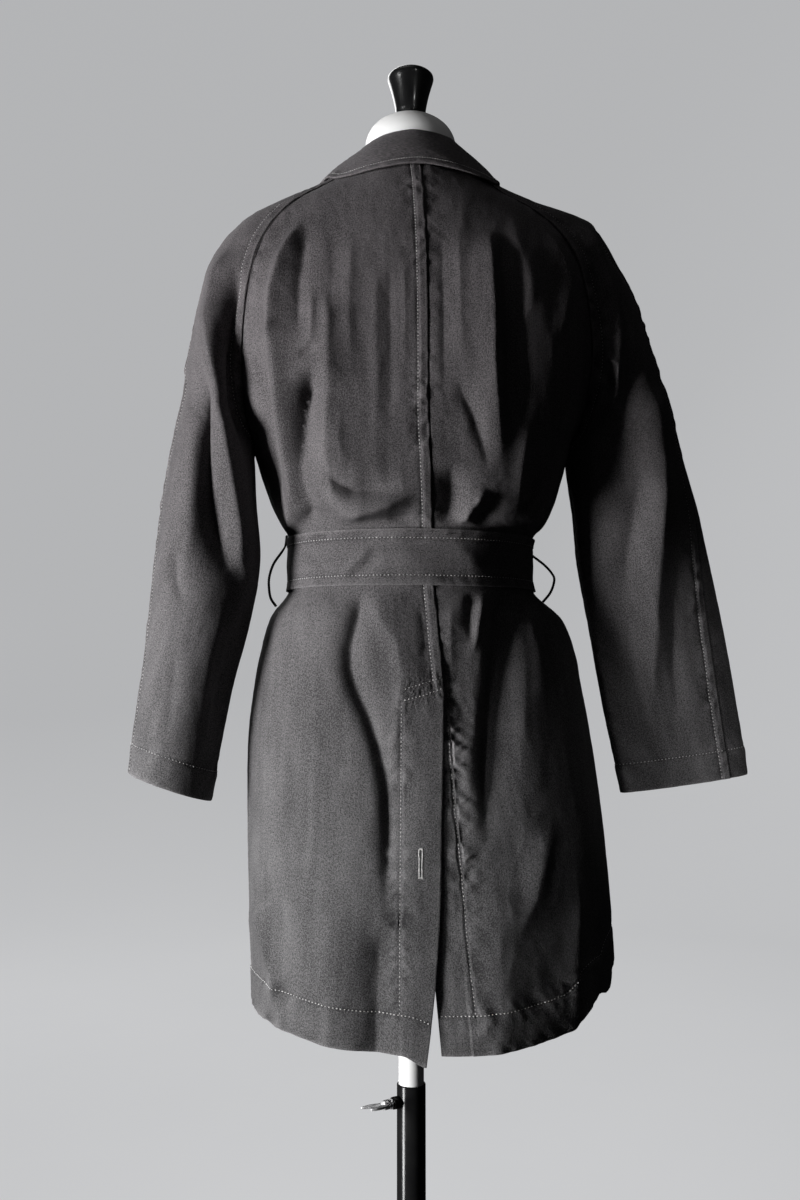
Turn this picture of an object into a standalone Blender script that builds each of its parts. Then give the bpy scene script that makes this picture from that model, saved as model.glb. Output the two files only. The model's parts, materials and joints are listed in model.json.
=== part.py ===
"""Belted raglan trench coat on a limbless dress form with a pole stand.

Frame: metres, +Z up. The origin is the centre of the base plate's underside.
The coat faces -Y, so its back is on the +Y side, and +X is the wearer's left.
The cloth is cut in panels: two backs with a centre vent, two fronts, two-piece
raglan sleeves, a turn-down collar and a belt. Every panel is a wall of cloth
between seams, worked out from the section tables below.
"""
import math

import bmesh
import bpy
import mathutils
import numpy as np
from mathutils.bvhtree import BVHTree

for old in list(bpy.data.objects):
    bpy.data.objects.remove(old, do_unlink=True)

# ---------------------------------------------------------------- sizes (m)
CLOTH = 0.0015            # washed cotton twill with its seam turnings
SEAM = 0.00016            # each panel stops this far short of a seam line
ARMPIT = 0.0007           # the sleeve stands this far off the body at the underarm
FLAP = 0.0014             # the vent flap and the button edge stand off by this
BELT_GAP = 0.0008         # belt clear of the coat
BELT_THICK = 0.0022
COLLAR_THICK = 0.0020
BASE_R, BASE_H = 0.180, 0.012
TUBE_R, TUBE_BORE_R, TUBE_TOP = 0.0150, 0.0136, 0.5010
POST_R, POST_LOW, POST_TOP = 0.0132, 0.150, 0.8007
SCREW_Z = 0.4845
SCREW_TURN, WING_ROLL = math.radians(24), math.radians(12)   # the clamp points to the left
BUTTON_R, BUTTON_H = 0.0115, 0.0032

# ------------------------------------------------- body sections, top to hem
# One row for each section. z: height at the centre back; zf: at the centre
# front; mid, half: centre and half width (sections 9 to 22 only; above them the
# raglan seams end the panels); back, front: depth at the centre back and front;
# cb: the centre back seam, then the flap's edge; under: the underlap's edge;
# fold: where the underlap turns in; flat, round: shape of the section's curve.
BODY_COLUMNS = ("z", "zf", "mid", "half", "back", "front", "cb", "under", "fold", "flat", "round")
BODY_ROWS = (
    (1.4682, 1.4155, 0.0000, 0.1721, 0.0620, 0.0780, 0.0000, 0.0216, 0.0000, 2.0, 1.00),  # 0 neckline
    (1.4481, 1.4051, 0.0000, 0.1719, 0.0770, 0.0850, 0.0000, 0.0216, 0.0000, 2.0, 1.00),  # 1
    (1.4208, 1.3893, 0.0000, 0.1717, 0.0910, 0.0940, 0.0000, 0.0215, 0.0000, 2.1, 1.00),  # 2
    (1.3935, 1.3684, 0.0000, 0.1714, 0.1020, 0.1040, 0.0000, 0.0215, 0.0000, 2.2, 1.00),  # 3
    (1.3601, 1.3423, 0.0000, 0.1711, 0.1120, 0.1130, 0.0000, 0.0215, 0.0000, 2.6, 1.00),  # 4
    (1.3246, 1.3111, 0.0000, 0.1708, 0.1190, 0.1210, 0.0000, 0.0214, 0.0000, 3.0, 0.98),  # 5
    (1.2800, 1.2749, 0.0000, 0.1704, 0.1235, 0.1270, 0.0000, 0.0214, 0.0000, 3.4, 0.92),  # 6
    (1.2356, 1.2336, 0.0000, 0.1700, 0.1250, 0.1300, 0.0000, 0.0213, 0.0000, 3.6, 0.80),  # 7
    (1.1925, 1.1925, -.0005, 0.1701, 0.1240, 0.1290, 0.0000, 0.0213, 0.0000, 3.6, 0.66),  # 8
    (1.1643, 1.1643, -.0010, 0.1693, 0.1230, 0.1270, -.0010, 0.0212, -.0010, 3.6, 0.55),  # 9 underarm
    (1.1129, 1.1129, -.0013, 0.1534, 0.1195, 0.1190, -.0040, 0.0212, -.0040, 3.6, 0.52),  # 10
    (1.0875, 1.0875, -.0015, 0.1420, 0.1150, 0.1120, -.0055, 0.0211, -.0055, 3.2, 0.50),  # 11
    (1.0693, 1.0693, 0.0005, 0.1302, 0.1050, 0.1030, -.0070, 0.0211, -.0070, 2.2, 0.50),  # 12 belt top
    (1.0410, 1.0410, 0.0010, 0.1288, 0.1020, 0.1000, -.0078, 0.0211, -.0078, 2.2, 0.50),  # 13
    (1.0123, 1.0123, -.0002, 0.1306, 0.1040, 0.1020, -.0085, 0.0211, -.0085, 2.2, 0.50),  # 14 belt bottom
    (0.9847, 0.9847, -.0059, 0.1554, 0.1110, 0.1090, -.0100, 0.0210, -.0100, 2.3, 0.50),  # 15
    (0.9497, 0.9497, -.0081, 0.1674, 0.1170, 0.1150, -.0122, 0.0210, -.0122, 2.3, 0.49),  # 16
    (0.9148, 0.9148, -.0078, 0.1734, 0.1225, 0.1195, -.0143, 0.0209, -.0143, 2.4, 0.48),  # 17 top of vent
    (0.8602, 0.8602, -.0093, 0.1808, 0.1290, 0.1250, -.0128, 0.0189, -.0174, 2.4, 0.47),  # 18
    (0.7913, 0.7913, -.0137, 0.1854, 0.1345, 0.1300, -.0104, 0.0124, -.0213, 2.5, 0.46),  # 19
    (0.7034, 0.7034, -.0187, 0.1882, 0.1400, 0.1350, -.0077, 0.0039, -.0256, 2.5, 0.46),  # 20
    (0.6259, 0.6259, -.0209, 0.1880, 0.1440, 0.1390, -.0015, -.0034, -.0314, 2.5, 0.46),  # 21
    (0.5721, 0.5721, -.0220, 0.1876, 0.1460, 0.1410, 0.0064, -.0083, -.0362, 2.5, 0.46),  # 22 hem
)
UNDERARM, VENT_TOP, HEM = 9.0, 17.0, 22.0
SIDE_Y = 0.004            # the side seams sit just behind the middle
HEM_RISE = (0.021, 0.035)  # the hem is higher at the left and right sides
SQUARE_LEFT = 1.8          # the upper back turns more squarely at the left
HEM_LIFT = 0.0190          # and caught up between the right back's middle and its side seam

# ---------------------------------------------- sleeve sections, neck to cuff
# xb, zb, turn_b: back raglan seam, and where the section's curve starts on it;
# xf, zf, turn_f: the same in front. Below section 9 both are the underarm seam.
# xa, za, ya: overarm line. deep_b, deep_f: depth of the curve. seam: where the
# overarm seam lies on the curve (180 is the outer edge).
SLEEVE_COLUMNS = ("xb", "zb", "turn_b", "xf", "zf", "turn_f", "xa", "za", "ya", "deep_b", "deep_f", "seam")
SLEEVE_LEFT = (
    (0.0616, 1.4650, 112, 0.0647, 1.4503, 112, 0.0679, 1.4727, -.0020, 0.0450, 0.0530, 180),  # 0
    (0.0924, 1.4429, 113, 0.0903, 1.4334, 112, 0.0996, 1.4520, -.0020, 0.0430, 0.0550, 180),  # 1
    (0.1220, 1.4187, 114, 0.1147, 1.4103, 112, 0.1426, 1.4293, -.0020, 0.0630, 0.0660, 180),  # 2
    (0.1474, 1.3914, 114, 0.1371, 1.3851, 112, 0.1723, 1.4132, -.0020, 0.0770, 0.0770, 180),  # 3
    (0.1655, 1.3590, 112, 0.1532, 1.3559, 110, 0.1875, 1.4011, -.0020, 0.0840, 0.0840, 180),  # 4
    (0.1744, 1.3246, 106, 0.1631, 1.3215, 105, 0.2093, 1.3726, -.0020, 0.0830, 0.0850, 180),  # 5
    (0.1801, 1.2800, 84, 0.1699, 1.2780, 88, 0.2260, 1.3163, -.0020, 0.0760, 0.0810, 180),  # 6
    (0.1812, 1.2356, 50, 0.1735, 1.2346, 60, 0.2386, 1.2573, -.0010, 0.0740, 0.0780, 180),  # 7
    (0.1767, 1.1925, 23, 0.1731, 1.1925, 28, 0.2475, 1.2069, 0.0000, 0.0720, 0.0740, 180),  # 8
    (0.1683, 1.1643, 0, 0.1683, 1.1643, 0, 0.2533, 1.1720, 0.0000, 0.0690, 0.0690, 180),  # 9
    (0.1650, 1.1046, 0, 0.1650, 1.1046, 0, 0.2613, 1.1146, 0.0080, 0.0620, 0.0620, 180),  # 10
    (0.1606, 1.0434, 0, 0.1606, 1.0434, 0, 0.2677, 1.0484, 0.0140, 0.0560, 0.0560, 180),  # 11
    (0.1696, 0.9836, 0, 0.1696, 0.9836, 0, 0.2729, 0.9885, 0.0170, 0.0500, 0.0500, 180),  # 12
    (0.1870, 0.9149, 0, 0.1870, 0.9149, 0, 0.2797, 0.9226, 0.0160, 0.0480, 0.0480, 180),  # 13
    (0.1977, 0.8594, 0, 0.1977, 0.8594, 0, 0.2863, 0.8750, 0.0130, 0.0460, 0.0460, 180),  # 14
    (0.2088, 0.7967, 0, 0.2088, 0.7967, 0, 0.2912, 0.8256, 0.0100, 0.0440, 0.0440, 180),  # 15 cuff
)
SLEEVE_RIGHT = (
    (0.0616, 1.4650, 112, 0.0647, 1.4503, 112, 0.0679, 1.4777, -.0020, 0.0450, 0.0530, 180),  # 0
    (0.0924, 1.4429, 113, 0.0903, 1.4334, 112, 0.0996, 1.4603, -.0020, 0.0430, 0.0550, 180),  # 1
    (0.1220, 1.4187, 114, 0.1147, 1.4103, 112, 0.1385, 1.4424, -.0020, 0.0630, 0.0660, 180),  # 2
    (0.1474, 1.3914, 114, 0.1371, 1.3851, 112, 0.1790, 1.4313, -.0020, 0.0770, 0.0770, 178),  # 3
    (0.1645, 1.3590, 112, 0.1532, 1.3559, 110, 0.2073, 1.4155, -.0020, 0.0840, 0.0840, 175),  # 4
    (0.1734, 1.3246, 106, 0.1631, 1.3215, 105, 0.2299, 1.3831, -.0020, 0.0830, 0.0850, 170),  # 5
    (0.1801, 1.2800, 86, 0.1699, 1.2780, 88, 0.2490, 1.3465, -.0020, 0.0760, 0.0810, 165),  # 6
    (0.1827, 1.2356, 52, 0.1735, 1.2346, 60, 0.2641, 1.2904, 0.0000, 0.0720, 0.0760, 158),  # 7
    (0.1782, 1.1925, 24, 0.1742, 1.1925, 28, 0.2815, 1.2274, 0.0020, 0.0660, 0.0680, 152),  # 8
    (0.1704, 1.1643, 0, 0.1704, 1.1643, 0, 0.2938, 1.1781, 0.0040, 0.0600, 0.0600, 148),  # 9
    (0.1754, 1.1046, 0, 0.1754, 1.1046, 0, 0.3148, 1.1015, 0.0120, 0.0480, 0.0460, 142),  # 10
    (0.1783, 1.0434, 0, 0.1783, 1.0434, 0, 0.3277, 1.0360, 0.0190, 0.0380, 0.0340, 135),  # 11
    (0.1879, 0.9735, 0, 0.1879, 0.9735, 0, 0.3378, 0.9696, 0.0270, 0.0300, 0.0260, 131),  # 12
    (0.1981, 0.9005, 0, 0.1981, 0.9005, 0, 0.3467, 0.8995, 0.0340, 0.0240, 0.0200, 130),  # 13
    (0.2075, 0.8480, 0, 0.2075, 0.8480, 0, 0.3514, 0.8586, 0.0380, 0.0200, 0.0160, 130),  # 14
    (0.2172, 0.8017, 0, 0.2172, 0.8017, 0, 0.3556, 0.8197, 0.0380, 0.0180, 0.0140, 131),  # 15 cuff
)
CUFF = 15.0

# ----------------------------------------------------------- largest folds
# The back's folds are set out on an elevation drawn in perspective from a
# standing point behind the coat. On its sheet, "across" and "down" are in
# sheet units of about a millimetre, and the stand's axis is at across 411.
SIGHT_TURN = math.radians(8.0)
SIGHT_AWAY, SIGHT_HEIGHT, SIGHT_TILT = 1.25, 0.920, math.radians(3.9)
SHEET_SCALE, SHEET_AXIS, SHEET_MIDDLE = 1170.0, (411.0, 400.0), 600.0

# on: body, left or right sleeve. path: (across, down) along the crest or trough.
# wide_l, wide_r: reach to its left and right in sheet units. rise: metres out.
FOLD_COLUMNS = ("on", "wide_l", "wide_r", "rise", "path")
FOLDS = (
    ("body", 9, 16, 0.0095, ((312, 214), (287, 256), (274, 300), (275, 359), (282, 444), (290, 513), (291, 536))),
    ("body", 14, 11, -.0120, ((318, 362), (309, 421), (306, 467), (312, 501), (332, 528))),
    ("body", 10, 14, 0.0050, ((324, 295), (323, 364), (319, 455), (330, 497), (358, 524))),
    ("body", 16, 8, 0.0050, ((487, 249), (489, 309), (488, 364), (493, 420), (496, 470))),
    ("body", 8, 10, -.0050, ((504, 250), (505, 330), (505, 400), (510, 460))),
    ("body", 10, 10, 0.0030, ((538, 226), (560, 256), (566, 290), (558, 345))),
    ("body", 11, 14, -.0100, ((362, 598), (350, 643), (348, 668), (365, 714), (384, 776), (390, 830))),
    ("body", 12, 14, 0.0060, ((363, 598), (382, 625), (398, 650), (410, 690))),
    ("body", 16, 16, 0.0050, ((326, 600), (316, 650), (320, 720))),
    ("body", 10, 10, -.0045, ((303, 598), (295, 630), (303, 670))),
    ("body", 10, 18, -.0085, ((499, 600), (495, 643), (489, 690), (487, 760), (487, 840))),
    ("body", 14, 14, 0.0035, ((510, 600), (522, 640), (527, 700), (520, 790))),
    ("body", 34, 34, 0.0080, ((335, 880), (333, 960), (335, 1100))),
    ("body", 18, 18, -.0070, ((384, 870), (386, 960), (386, 1100))),
    ("body", 34, 30, 0.0070, ((500, 860), (500, 960), (500, 1100))),
    ("left", 12, 12, -.0120, ((246, 262), (236, 320), (238, 380), (245, 445))),
    ("left", 12, 12, 0.0085, ((222, 240), (209, 320), (213, 380), (219, 440))),
    ("left", 12, 10, 0.0080, ((219, 440), (228, 485), (236, 530), (242, 570), (256, 592))),
    ("left", 20, 10, -.0120, ((210, 400), (216, 486), (224, 536), (238, 588))),
    ("right", 20, 11, 0.0090, ((656, 440), (660, 493), (654, 590), (653, 648), (649, 740))),
    ("right", 10, 10, -.0050, ((669, 520), (666, 600), (668, 680), (668, 760))),
    ("right", 12, 12, -.0060, ((634, 500), (628, 560), (622, 620))),
    ("right", 9, 9, -.0060, ((600, 250), (613, 298), (618, 350), (610, 400))),
)
# The hidden sides fold in the same way. turn: degrees round the body from the
# centre back, or round the sleeve from its seam; section: along the tables.
HIDDEN_COLUMNS = ("on", "half_turn", "rise", "path")
HIDDEN_FOLDS = (
    ("body", 7.0, 0.0050, ((118, 14.2), (122, 15.5), (127, 17.5))),
    ("body", 8.0, -.0060, ((140, 14.2), (137, 15.5), (138, 18.0))),
    ("body", 9.0, -.0055, ((-134, 14.2), (-138, 16.0), (-133, 18.0))),
    ("body", 8.0, 0.0050, ((-118, 14.2), (-117, 15.5), (-122, 17.0))),
    ("body", 12.0, 0.0060, ((-140, 19.0), (-142, 22.5))),
    ("body", 12.0, 0.0060, ((146, 19.0), (142, 22.5))),
    ("body", 8.0, 0.0045, ((128, 9.5), (134, 10.5), (140, 11.8))),
    ("body", 8.0, 0.0045, ((-126, 9.5), (-135, 10.5), (-143, 11.8))),
)


# ------------------------------------------------------------------- helpers
def read(rows, columns, name, t):
    """Value of a named column at section t, on a smooth curve through the rows."""
    v = np.array([row[columns.index(name)] for row in rows], dtype=float)
    v = np.concatenate(([2 * v[0] - v[1]], v, [2 * v[-1] - v[-2]]))
    t = np.clip(np.asarray(t, dtype=float), 0.0, len(rows) - 1.0)
    i = np.minimum(t.astype(int), len(rows) - 2)
    f = t - i
    a, b, c, d = v[i], v[i + 1], v[i + 2], v[i + 3]
    slope_b, slope_c = (c - a) / 2, (d - b) / 2
    return (
        b * (1 + 2 * f) * (1 - f) ** 2 + slope_b * f * (1 - f) ** 2
        + c * f * f * (3 - 2 * f) + slope_c * f * f * (f - 1)
    )


def ease(x, low, high):
    """0 below low, 1 above high, smooth between."""
    k = np.clip((np.asarray(x, dtype=float) - low) / (high - low), 0.0, 1.0)
    return k * k * (3 - 2 * k)


def body(name, t):
    return read(BODY_ROWS, BODY_COLUMNS, name, t)


def sleeve(side, name, t):
    return read(SLEEVE_LEFT if side > 0 else SLEEVE_RIGHT, SLEEVE_COLUMNS, name, t)


def seam_point(side, t, front):
    """A point of the raglan seam, or of the underarm seam below section 9."""
    f = "f" if front else "b"
    x, z = sleeve(side, "x" + f, t), sleeve(side, "z" + f, t)
    turn = np.radians(np.maximum(sleeve(side, "turn_" + f, np.minimum(t, 9.0)), 0.0))
    turn = np.where(t >= UNDERARM, 0.0, turn)
    deep = sleeve(side, "deep_" + f, t)
    y = sleeve(side, "ya", t) + (-1 if front else 1) * deep * np.sin(turn)
    return x, y, z, turn, deep


def body_point(t, turn):
    """The coat's body at section t, turned from the centre back (degrees, + to
    the wearer's left); beyond 90 it is the front."""
    t, turn = np.broadcast_arrays(np.asarray(t, float), np.asarray(turn, float))
    left = turn >= 0
    front = np.abs(turn) > 90.0
    s = np.abs(np.sin(np.radians(turn)))
    side_x, side_y, side_z = np.zeros(t.shape), np.zeros(t.shape), np.zeros(t.shape)
    low = t >= UNDERARM
    mid, half = body("mid", t), body("half", t)
    for side in (1, -1):
        for is_front in (False, True):
            x, y, z, _, _ = seam_point(side, np.minimum(t, UNDERARM), is_front)
            pick = (left if side > 0 else ~left) & (front == is_front)
            rise = HEM_RISE[0 if side > 0 else 1] * ease(t, 20.0, 22.0)
            side_x = np.where(pick, np.where(low, mid + side * half, side * x), side_x)
            side_y = np.where(pick, np.where(low, SIDE_Y * ease(t, 9.0, 12.0), y), side_y)
            side_z = np.where(pick, np.where(low, body("z", t) + rise, z), side_z)
    deep = np.where(front, -body("front", t), body("back", t))
    z0 = np.where(front, body("zf", t), body("z", t))
    flat, rnd = body("flat", t), body("round", t)
    flat = flat + np.where(left & ~front, SQUARE_LEFT * ease(t, 4.0, 6.5) * (1 - ease(t, 10.6, 12.0)), 0.0)
    x = mid + (side_x - mid) * s
    y = side_y + (deep - side_y) * np.clip(1 - s ** flat, 0.0, 1.0) ** rnd
    z = z0 + (side_z - z0) * s ** 2
    lifted = ease(s, 0.62, 0.84) * (1 - ease(s, 0.965, 1.0)) * ease(t, 19.0, 22.0)
    z = z + np.where(left | front, 0.0, HEM_LIFT * lifted)
    return np.stack((x, y, z), axis=-1)


def sleeve_point(side, t, turn):
    """The sleeve at section t; turn runs over the back from the inner seam (0 or
    the raglan seam) to the outer edge (180) and on round the front."""
    t, turn = np.broadcast_arrays(np.asarray(t, float), np.asarray(turn, float))
    xa, za, ya = (sleeve(side, n, t) for n in ("xa", "za", "ya"))
    out = None
    for is_front in (False, True):
        x, y, z, start, deep = seam_point(side, t, is_front)
        long = np.hypot(xa - x, za - z)
        half = long / (1 + np.cos(start))
        dx, dz = (xa - x) / long, (za - z) / long
        angle = np.radians(360.0 - turn if is_front else turn)
        reach = half * (-np.cos(angle)) - half
        p = np.stack(
            (side * (xa + dx * reach), ya + (-1 if is_front else 1) * deep * np.sin(angle), za + dz * reach),
            axis=-1,
        )
        out = p if out is None else np.where((turn > 180.0)[..., None], p, out)
    return out


def sleeve_turns(side, t, u, front):
    """Turn at u (0 to 1) across a sleeve's back or front half."""
    seam = sleeve(side, "seam", t)
    start = np.degrees(seam_point(side, t, front)[3])
    return seam + (360.0 - start - seam) * u if front else start + (seam - start) * u


def on_sheet(p):
    """Where a point falls on the perspective elevation."""
    away = np.array((math.sin(SIGHT_TURN), math.cos(SIGHT_TURN), 0.0))
    right = np.array((-math.cos(SIGHT_TURN), math.sin(SIGHT_TURN), 0.0))
    d = SIGHT_AWAY - p @ away
    s, h = p @ right, p[..., 2] - SIGHT_HEIGHT
    yaw = math.atan2(SHEET_AXIS[0] - SHEET_AXIS[1], SHEET_SCALE)
    s, d = s * math.cos(yaw) + d * math.sin(yaw), d * math.cos(yaw) - s * math.sin(yaw)
    deep = d * math.cos(SIGHT_TILT) + h * math.sin(SIGHT_TILT)
    up = h * math.cos(SIGHT_TILT) - d * math.sin(SIGHT_TILT)
    return SHEET_AXIS[1] + SHEET_SCALE * s / deep, SHEET_MIDDLE - SHEET_SCALE * up / deep


def near_path(u, v, path):
    """Distance to a path, which side of it, and how far along it (0 to 1)."""
    path = np.asarray(path, float)
    steps = np.hypot(*np.diff(path, axis=0).T)
    total = steps.sum()
    best = np.full(u.shape, 1e9)
    side, along = np.zeros(u.shape), np.zeros(u.shape)
    before = 0.0
    for (a, b), step in zip(zip(path[:-1], path[1:]), steps):
        d = (b - a) / step
        k = np.clip((u - a[0]) * d[0] + (v - a[1]) * d[1], 0.0, step)
        px, py = u - a[0] - d[0] * k, v - a[1] - d[1] * k
        dist = np.hypot(px, py)
        near = dist < best
        best = np.where(near, dist, best)
        side = np.where(near, d[0] * py - d[1] * px, side)
        along = np.where(near, (before + k) / total, along)
        before += step
    return best, side, along


def fold_rise(group, p, n, t, turn):
    """How far the folds move a point of the cloth outwards."""
    u, v = on_sheet(p)
    toward = np.array((math.sin(SIGHT_TURN), math.cos(SIGHT_TURN), 0.0))
    seen = ease(n @ toward, 0.02, 0.30)
    rise = np.zeros(u.shape)
    for on, wide_l, wide_r, height, path in FOLDS:
        if on != group:
            continue
        dist, side, along = near_path(u, v, path)
        wide = np.where(side > 0, wide_l, wide_r)
        taper = ease(along, -0.02, 0.22) * ease(1 - along, -0.02, 0.25)
        rise += height * np.exp(-((dist / wide) ** 2)) * taper * seen
    for on, half_turn, height, path in HIDDEN_FOLDS:
        if on != group:
            continue
        scaled = [(a, b * 14.0) for a, b in path]
        dist, _, along = near_path(turn + 0.0 * u, (t + 0.0 * u) * 14.0, scaled)
        taper = ease(along, -0.02, 0.3) * ease(1 - along, -0.02, 0.3)
        rise += height * np.exp(-((dist / half_turn) ** 2)) * taper
    return rise


def normals(fn, t, turn, outward):
    """Unit normals of a surface function, pointing outward."""
    e, g = 0.02, 0.4
    a = fn(t + e, turn) - fn(t - e, turn)
    b = fn(t, turn + g) - fn(t, turn - g)
    n = np.cross(a, b)
    n /= np.maximum(np.linalg.norm(n, axis=-1, keepdims=True), 1e-12)
    return n * np.where(np.sum(n * outward, axis=-1, keepdims=True) < 0, -1.0, 1.0)


def body_cloth(t, turn):
    """A point of the body's cloth with its folds, before it leaves the seam."""
    t, turn = np.broadcast_arrays(np.asarray(t, float), np.asarray(turn, float))
    p = body_point(t, turn)
    centre = np.stack((body("mid", t), 0 * t, p[..., 2] - 0.3 * (t < 5)), axis=-1)
    safe = np.where(np.abs(turn) < 90, np.clip(turn, -89.0, 89.0), np.sign(turn) * np.clip(np.abs(turn), 91.0, 179.4))
    n = normals(body_point, np.clip(t, 0.03, HEM - 0.03), safe, p - centre)
    off_belt = 1 - ease(t, 11.4, 12.0) * (1 - ease(t, 14.0, 14.6))
    near_seam = 1 - ease(np.abs(np.sin(np.radians(turn))), 0.93, 1.0) * (1 - ease(t, 9.0, 9.8))
    rise = fold_rise("body", p, n, t, turn) * off_belt * near_seam * ease(t, 0.2, 1.6)
    return p + n * rise[..., None], n


def sleeve_cloth(side, t, turn):
    """A point of a sleeve's cloth with its folds."""
    t, turn = np.broadcast_arrays(np.asarray(t, float), np.asarray(turn, float))
    p = sleeve_point(side, t, turn)

    def fn(a, b):
        return sleeve_point(side, a, b)

    x, y, z, _, _ = seam_point(side, t, False)
    xa, za, ya = (sleeve(side, n, t) for n in ("xa", "za", "ya"))
    lean = 0.35 * (t < UNDERARM)
    centre = np.stack((side * (x + (xa - x) * (0.5 - lean)), ya, z + (za - z) * (0.5 - lean) - 0.05 * (t < 6)), axis=-1)
    start_b = np.degrees(seam_point(side, t, False)[3])
    start_f = 360.0 - np.degrees(seam_point(side, t, True)[3])
    n = normals(fn, np.clip(t, 0.03, CUFF - 0.03), np.clip(turn, start_b + 0.5, start_f - 0.5), p - centre)
    from_seam = np.minimum(turn - start_b, start_f - turn)
    near_seam = 1 - (1 - ease(from_seam, 0.0, 22.0)) * (1 - ease(t, 9.0, 9.6)) * ease(t, 3.0, 5.0)
    group = "left" if side > 0 else "right"
    rise = fold_rise(group, p, n, t, turn) * near_seam * ease(t, 0.5, 2.5)
    return p + n * rise[..., None], n


# ---------------------------------------------------------------- cloth walls
def grid_normals(p, guide):
    """Normals of a grid of points, kept on the same side as the guide."""
    a = np.gradient(p, axis=0)
    b = np.gradient(p, axis=1)
    n = np.cross(a, b)
    n /= np.maximum(np.linalg.norm(n, axis=-1, keepdims=True), 1e-12)
    return n * np.where(np.sum(n * guide, axis=-1, keepdims=True) < 0, -1.0, 1.0)


def short_of_seams(p, edges):
    """Moves a grid's outer rows back from the seam lines named in edges."""
    q = p.copy()
    for row, nxt, gap, rows in edges:
        if row in ("left", "right"):
            i, j = (0, 1) if row == "left" else (-1, -2)
            d = p[:, j] - p[:, i]
            d /= np.maximum(np.linalg.norm(d, axis=-1, keepdims=True), 1e-12)
            keep = np.ones(p.shape[0]) if rows is None else rows
            q[:, i] += d * gap * keep[:, None]
    return q


def wall(name, outer, inner, mask, material):
    """A closed wall between two grids of points, over the cells of the mask."""
    rows, cols = outer.shape[:2]
    mesh = bmesh.new()
    made = {}

    def vert(layer, i, j):
        key = (layer, i, j)
        if key not in made:
            made[key] = mesh.verts.new((outer if layer == 0 else inner)[i, j])
        return made[key]

    for i in range(rows - 1):
        for j in range(cols - 1):
            if not mask[i, j]:
                continue
            ring = ((i, j), (i, j + 1), (i + 1, j + 1), (i + 1, j))
            mesh.faces.new([vert(0, *k) for k in ring])
            mesh.faces.new([vert(1, *k) for k in reversed(ring)])
            beside = ((i - 1, j), (i, j + 1), (i + 1, j), (i, j - 1))
            for (a, b), (x, y) in zip(zip(ring, ring[1:] + ring[:1]), beside):
                outside = not (0 <= x < rows - 1 and 0 <= y < cols - 1) or not mask[x, y]
                if outside:
                    mesh.faces.new((vert(0, *b), vert(0, *a), vert(1, *a), vert(1, *b)))
    return finish(name, mesh, material)


def finish(name, mesh, material, smooth=True):
    """Turns a bmesh into a named object with its faces pointing out."""
    bmesh.ops.recalc_face_normals(mesh, faces=mesh.faces[:])
    data = bpy.data.meshes.new(name)
    mesh.to_mesh(data)
    mesh.free()
    data.materials.append(material)
    obj = bpy.data.objects.new(name, data)
    bpy.context.collection.objects.link(obj)
    if smooth:
        data.shade_smooth()
        data.set_sharp_from_angle(angle=math.radians(40))
    return obj


def paint(name, colour, rough, metal=0.0):
    """A material with the piece's own colour, roughness and metallic value."""
    m = bpy.data.materials.new(name)
    m.use_nodes = True
    shader = m.node_tree.nodes["Principled BSDF"]
    shader.inputs["Base Color"].default_value = (*colour, 1.0)
    shader.inputs["Roughness"].default_value = rough
    shader.inputs["Metallic"].default_value = metal
    m.diffuse_color = (*colour, 1.0)
    return m


# ------------------------------------------------------------- section levels
BODY_T = (0, 1, 2, 3, 4, 5, 6, 7, 8, 9, 9.5, 10, 10.5, 11, 11.5, 12, 13, 14,
          14.4, 14.8, 15.3, 15.9, 16.5, 17, 18, 19, 20, 21, 22)
SLEEVE_T = (0, 1, 2, 3, 4, 5, 6, 7, 8, 9, 9.5, 10, 10.5, 11, 11.5, 12, 12.5, 13, 14, 15)
BODY_BACK_N, BODY_FRONT_N, SLEEVE_N = 10, 7, 8
FRONT_LAP = 9.0           # degrees past the centre front that each front reaches

body_t = np.array(BODY_T, float)[:, None]
sleeve_t = np.array(SLEEVE_T, float)[:, None]


def centre_turn(column, t):
    """Turn of a line near the centre back, from its place across the body."""
    x = (body(column, t) - body("mid", t)) / np.where(t >= UNDERARM, body("half", t), 0.1675)
    return np.degrees(np.arcsin(np.clip(x, -0.9, 0.9)))


def flap_offset(t, turn, side):
    """How far an edge of the vent stands out (left, over) or in (right, under)."""
    edge = centre_turn("cb", t)
    near = 1 - ease(np.abs(turn - edge), 4.0, 16.0)
    return side * FLAP * near * ease(t, 15.5, VENT_TOP)


def front_offset(t, turn, side):
    """The right front lies over the left front at the button edge."""
    near = 1 - ease(180.0 - np.abs(turn), 12.0, 26.0)
    lapped = np.where(turn * side < 0, 1.0, near)
    return -side * FLAP * lapped


def hem_drop(t, turn, side):
    """The flap's corner hangs lower than the rest of the hem."""
    if side < 0:
        return 0.0 * turn
    edge = centre_turn("cb", t)
    return -0.009 * (1 - ease(turn - edge, 0.0, 7.0)) * ease(t, 21.0, 22.0)


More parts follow.
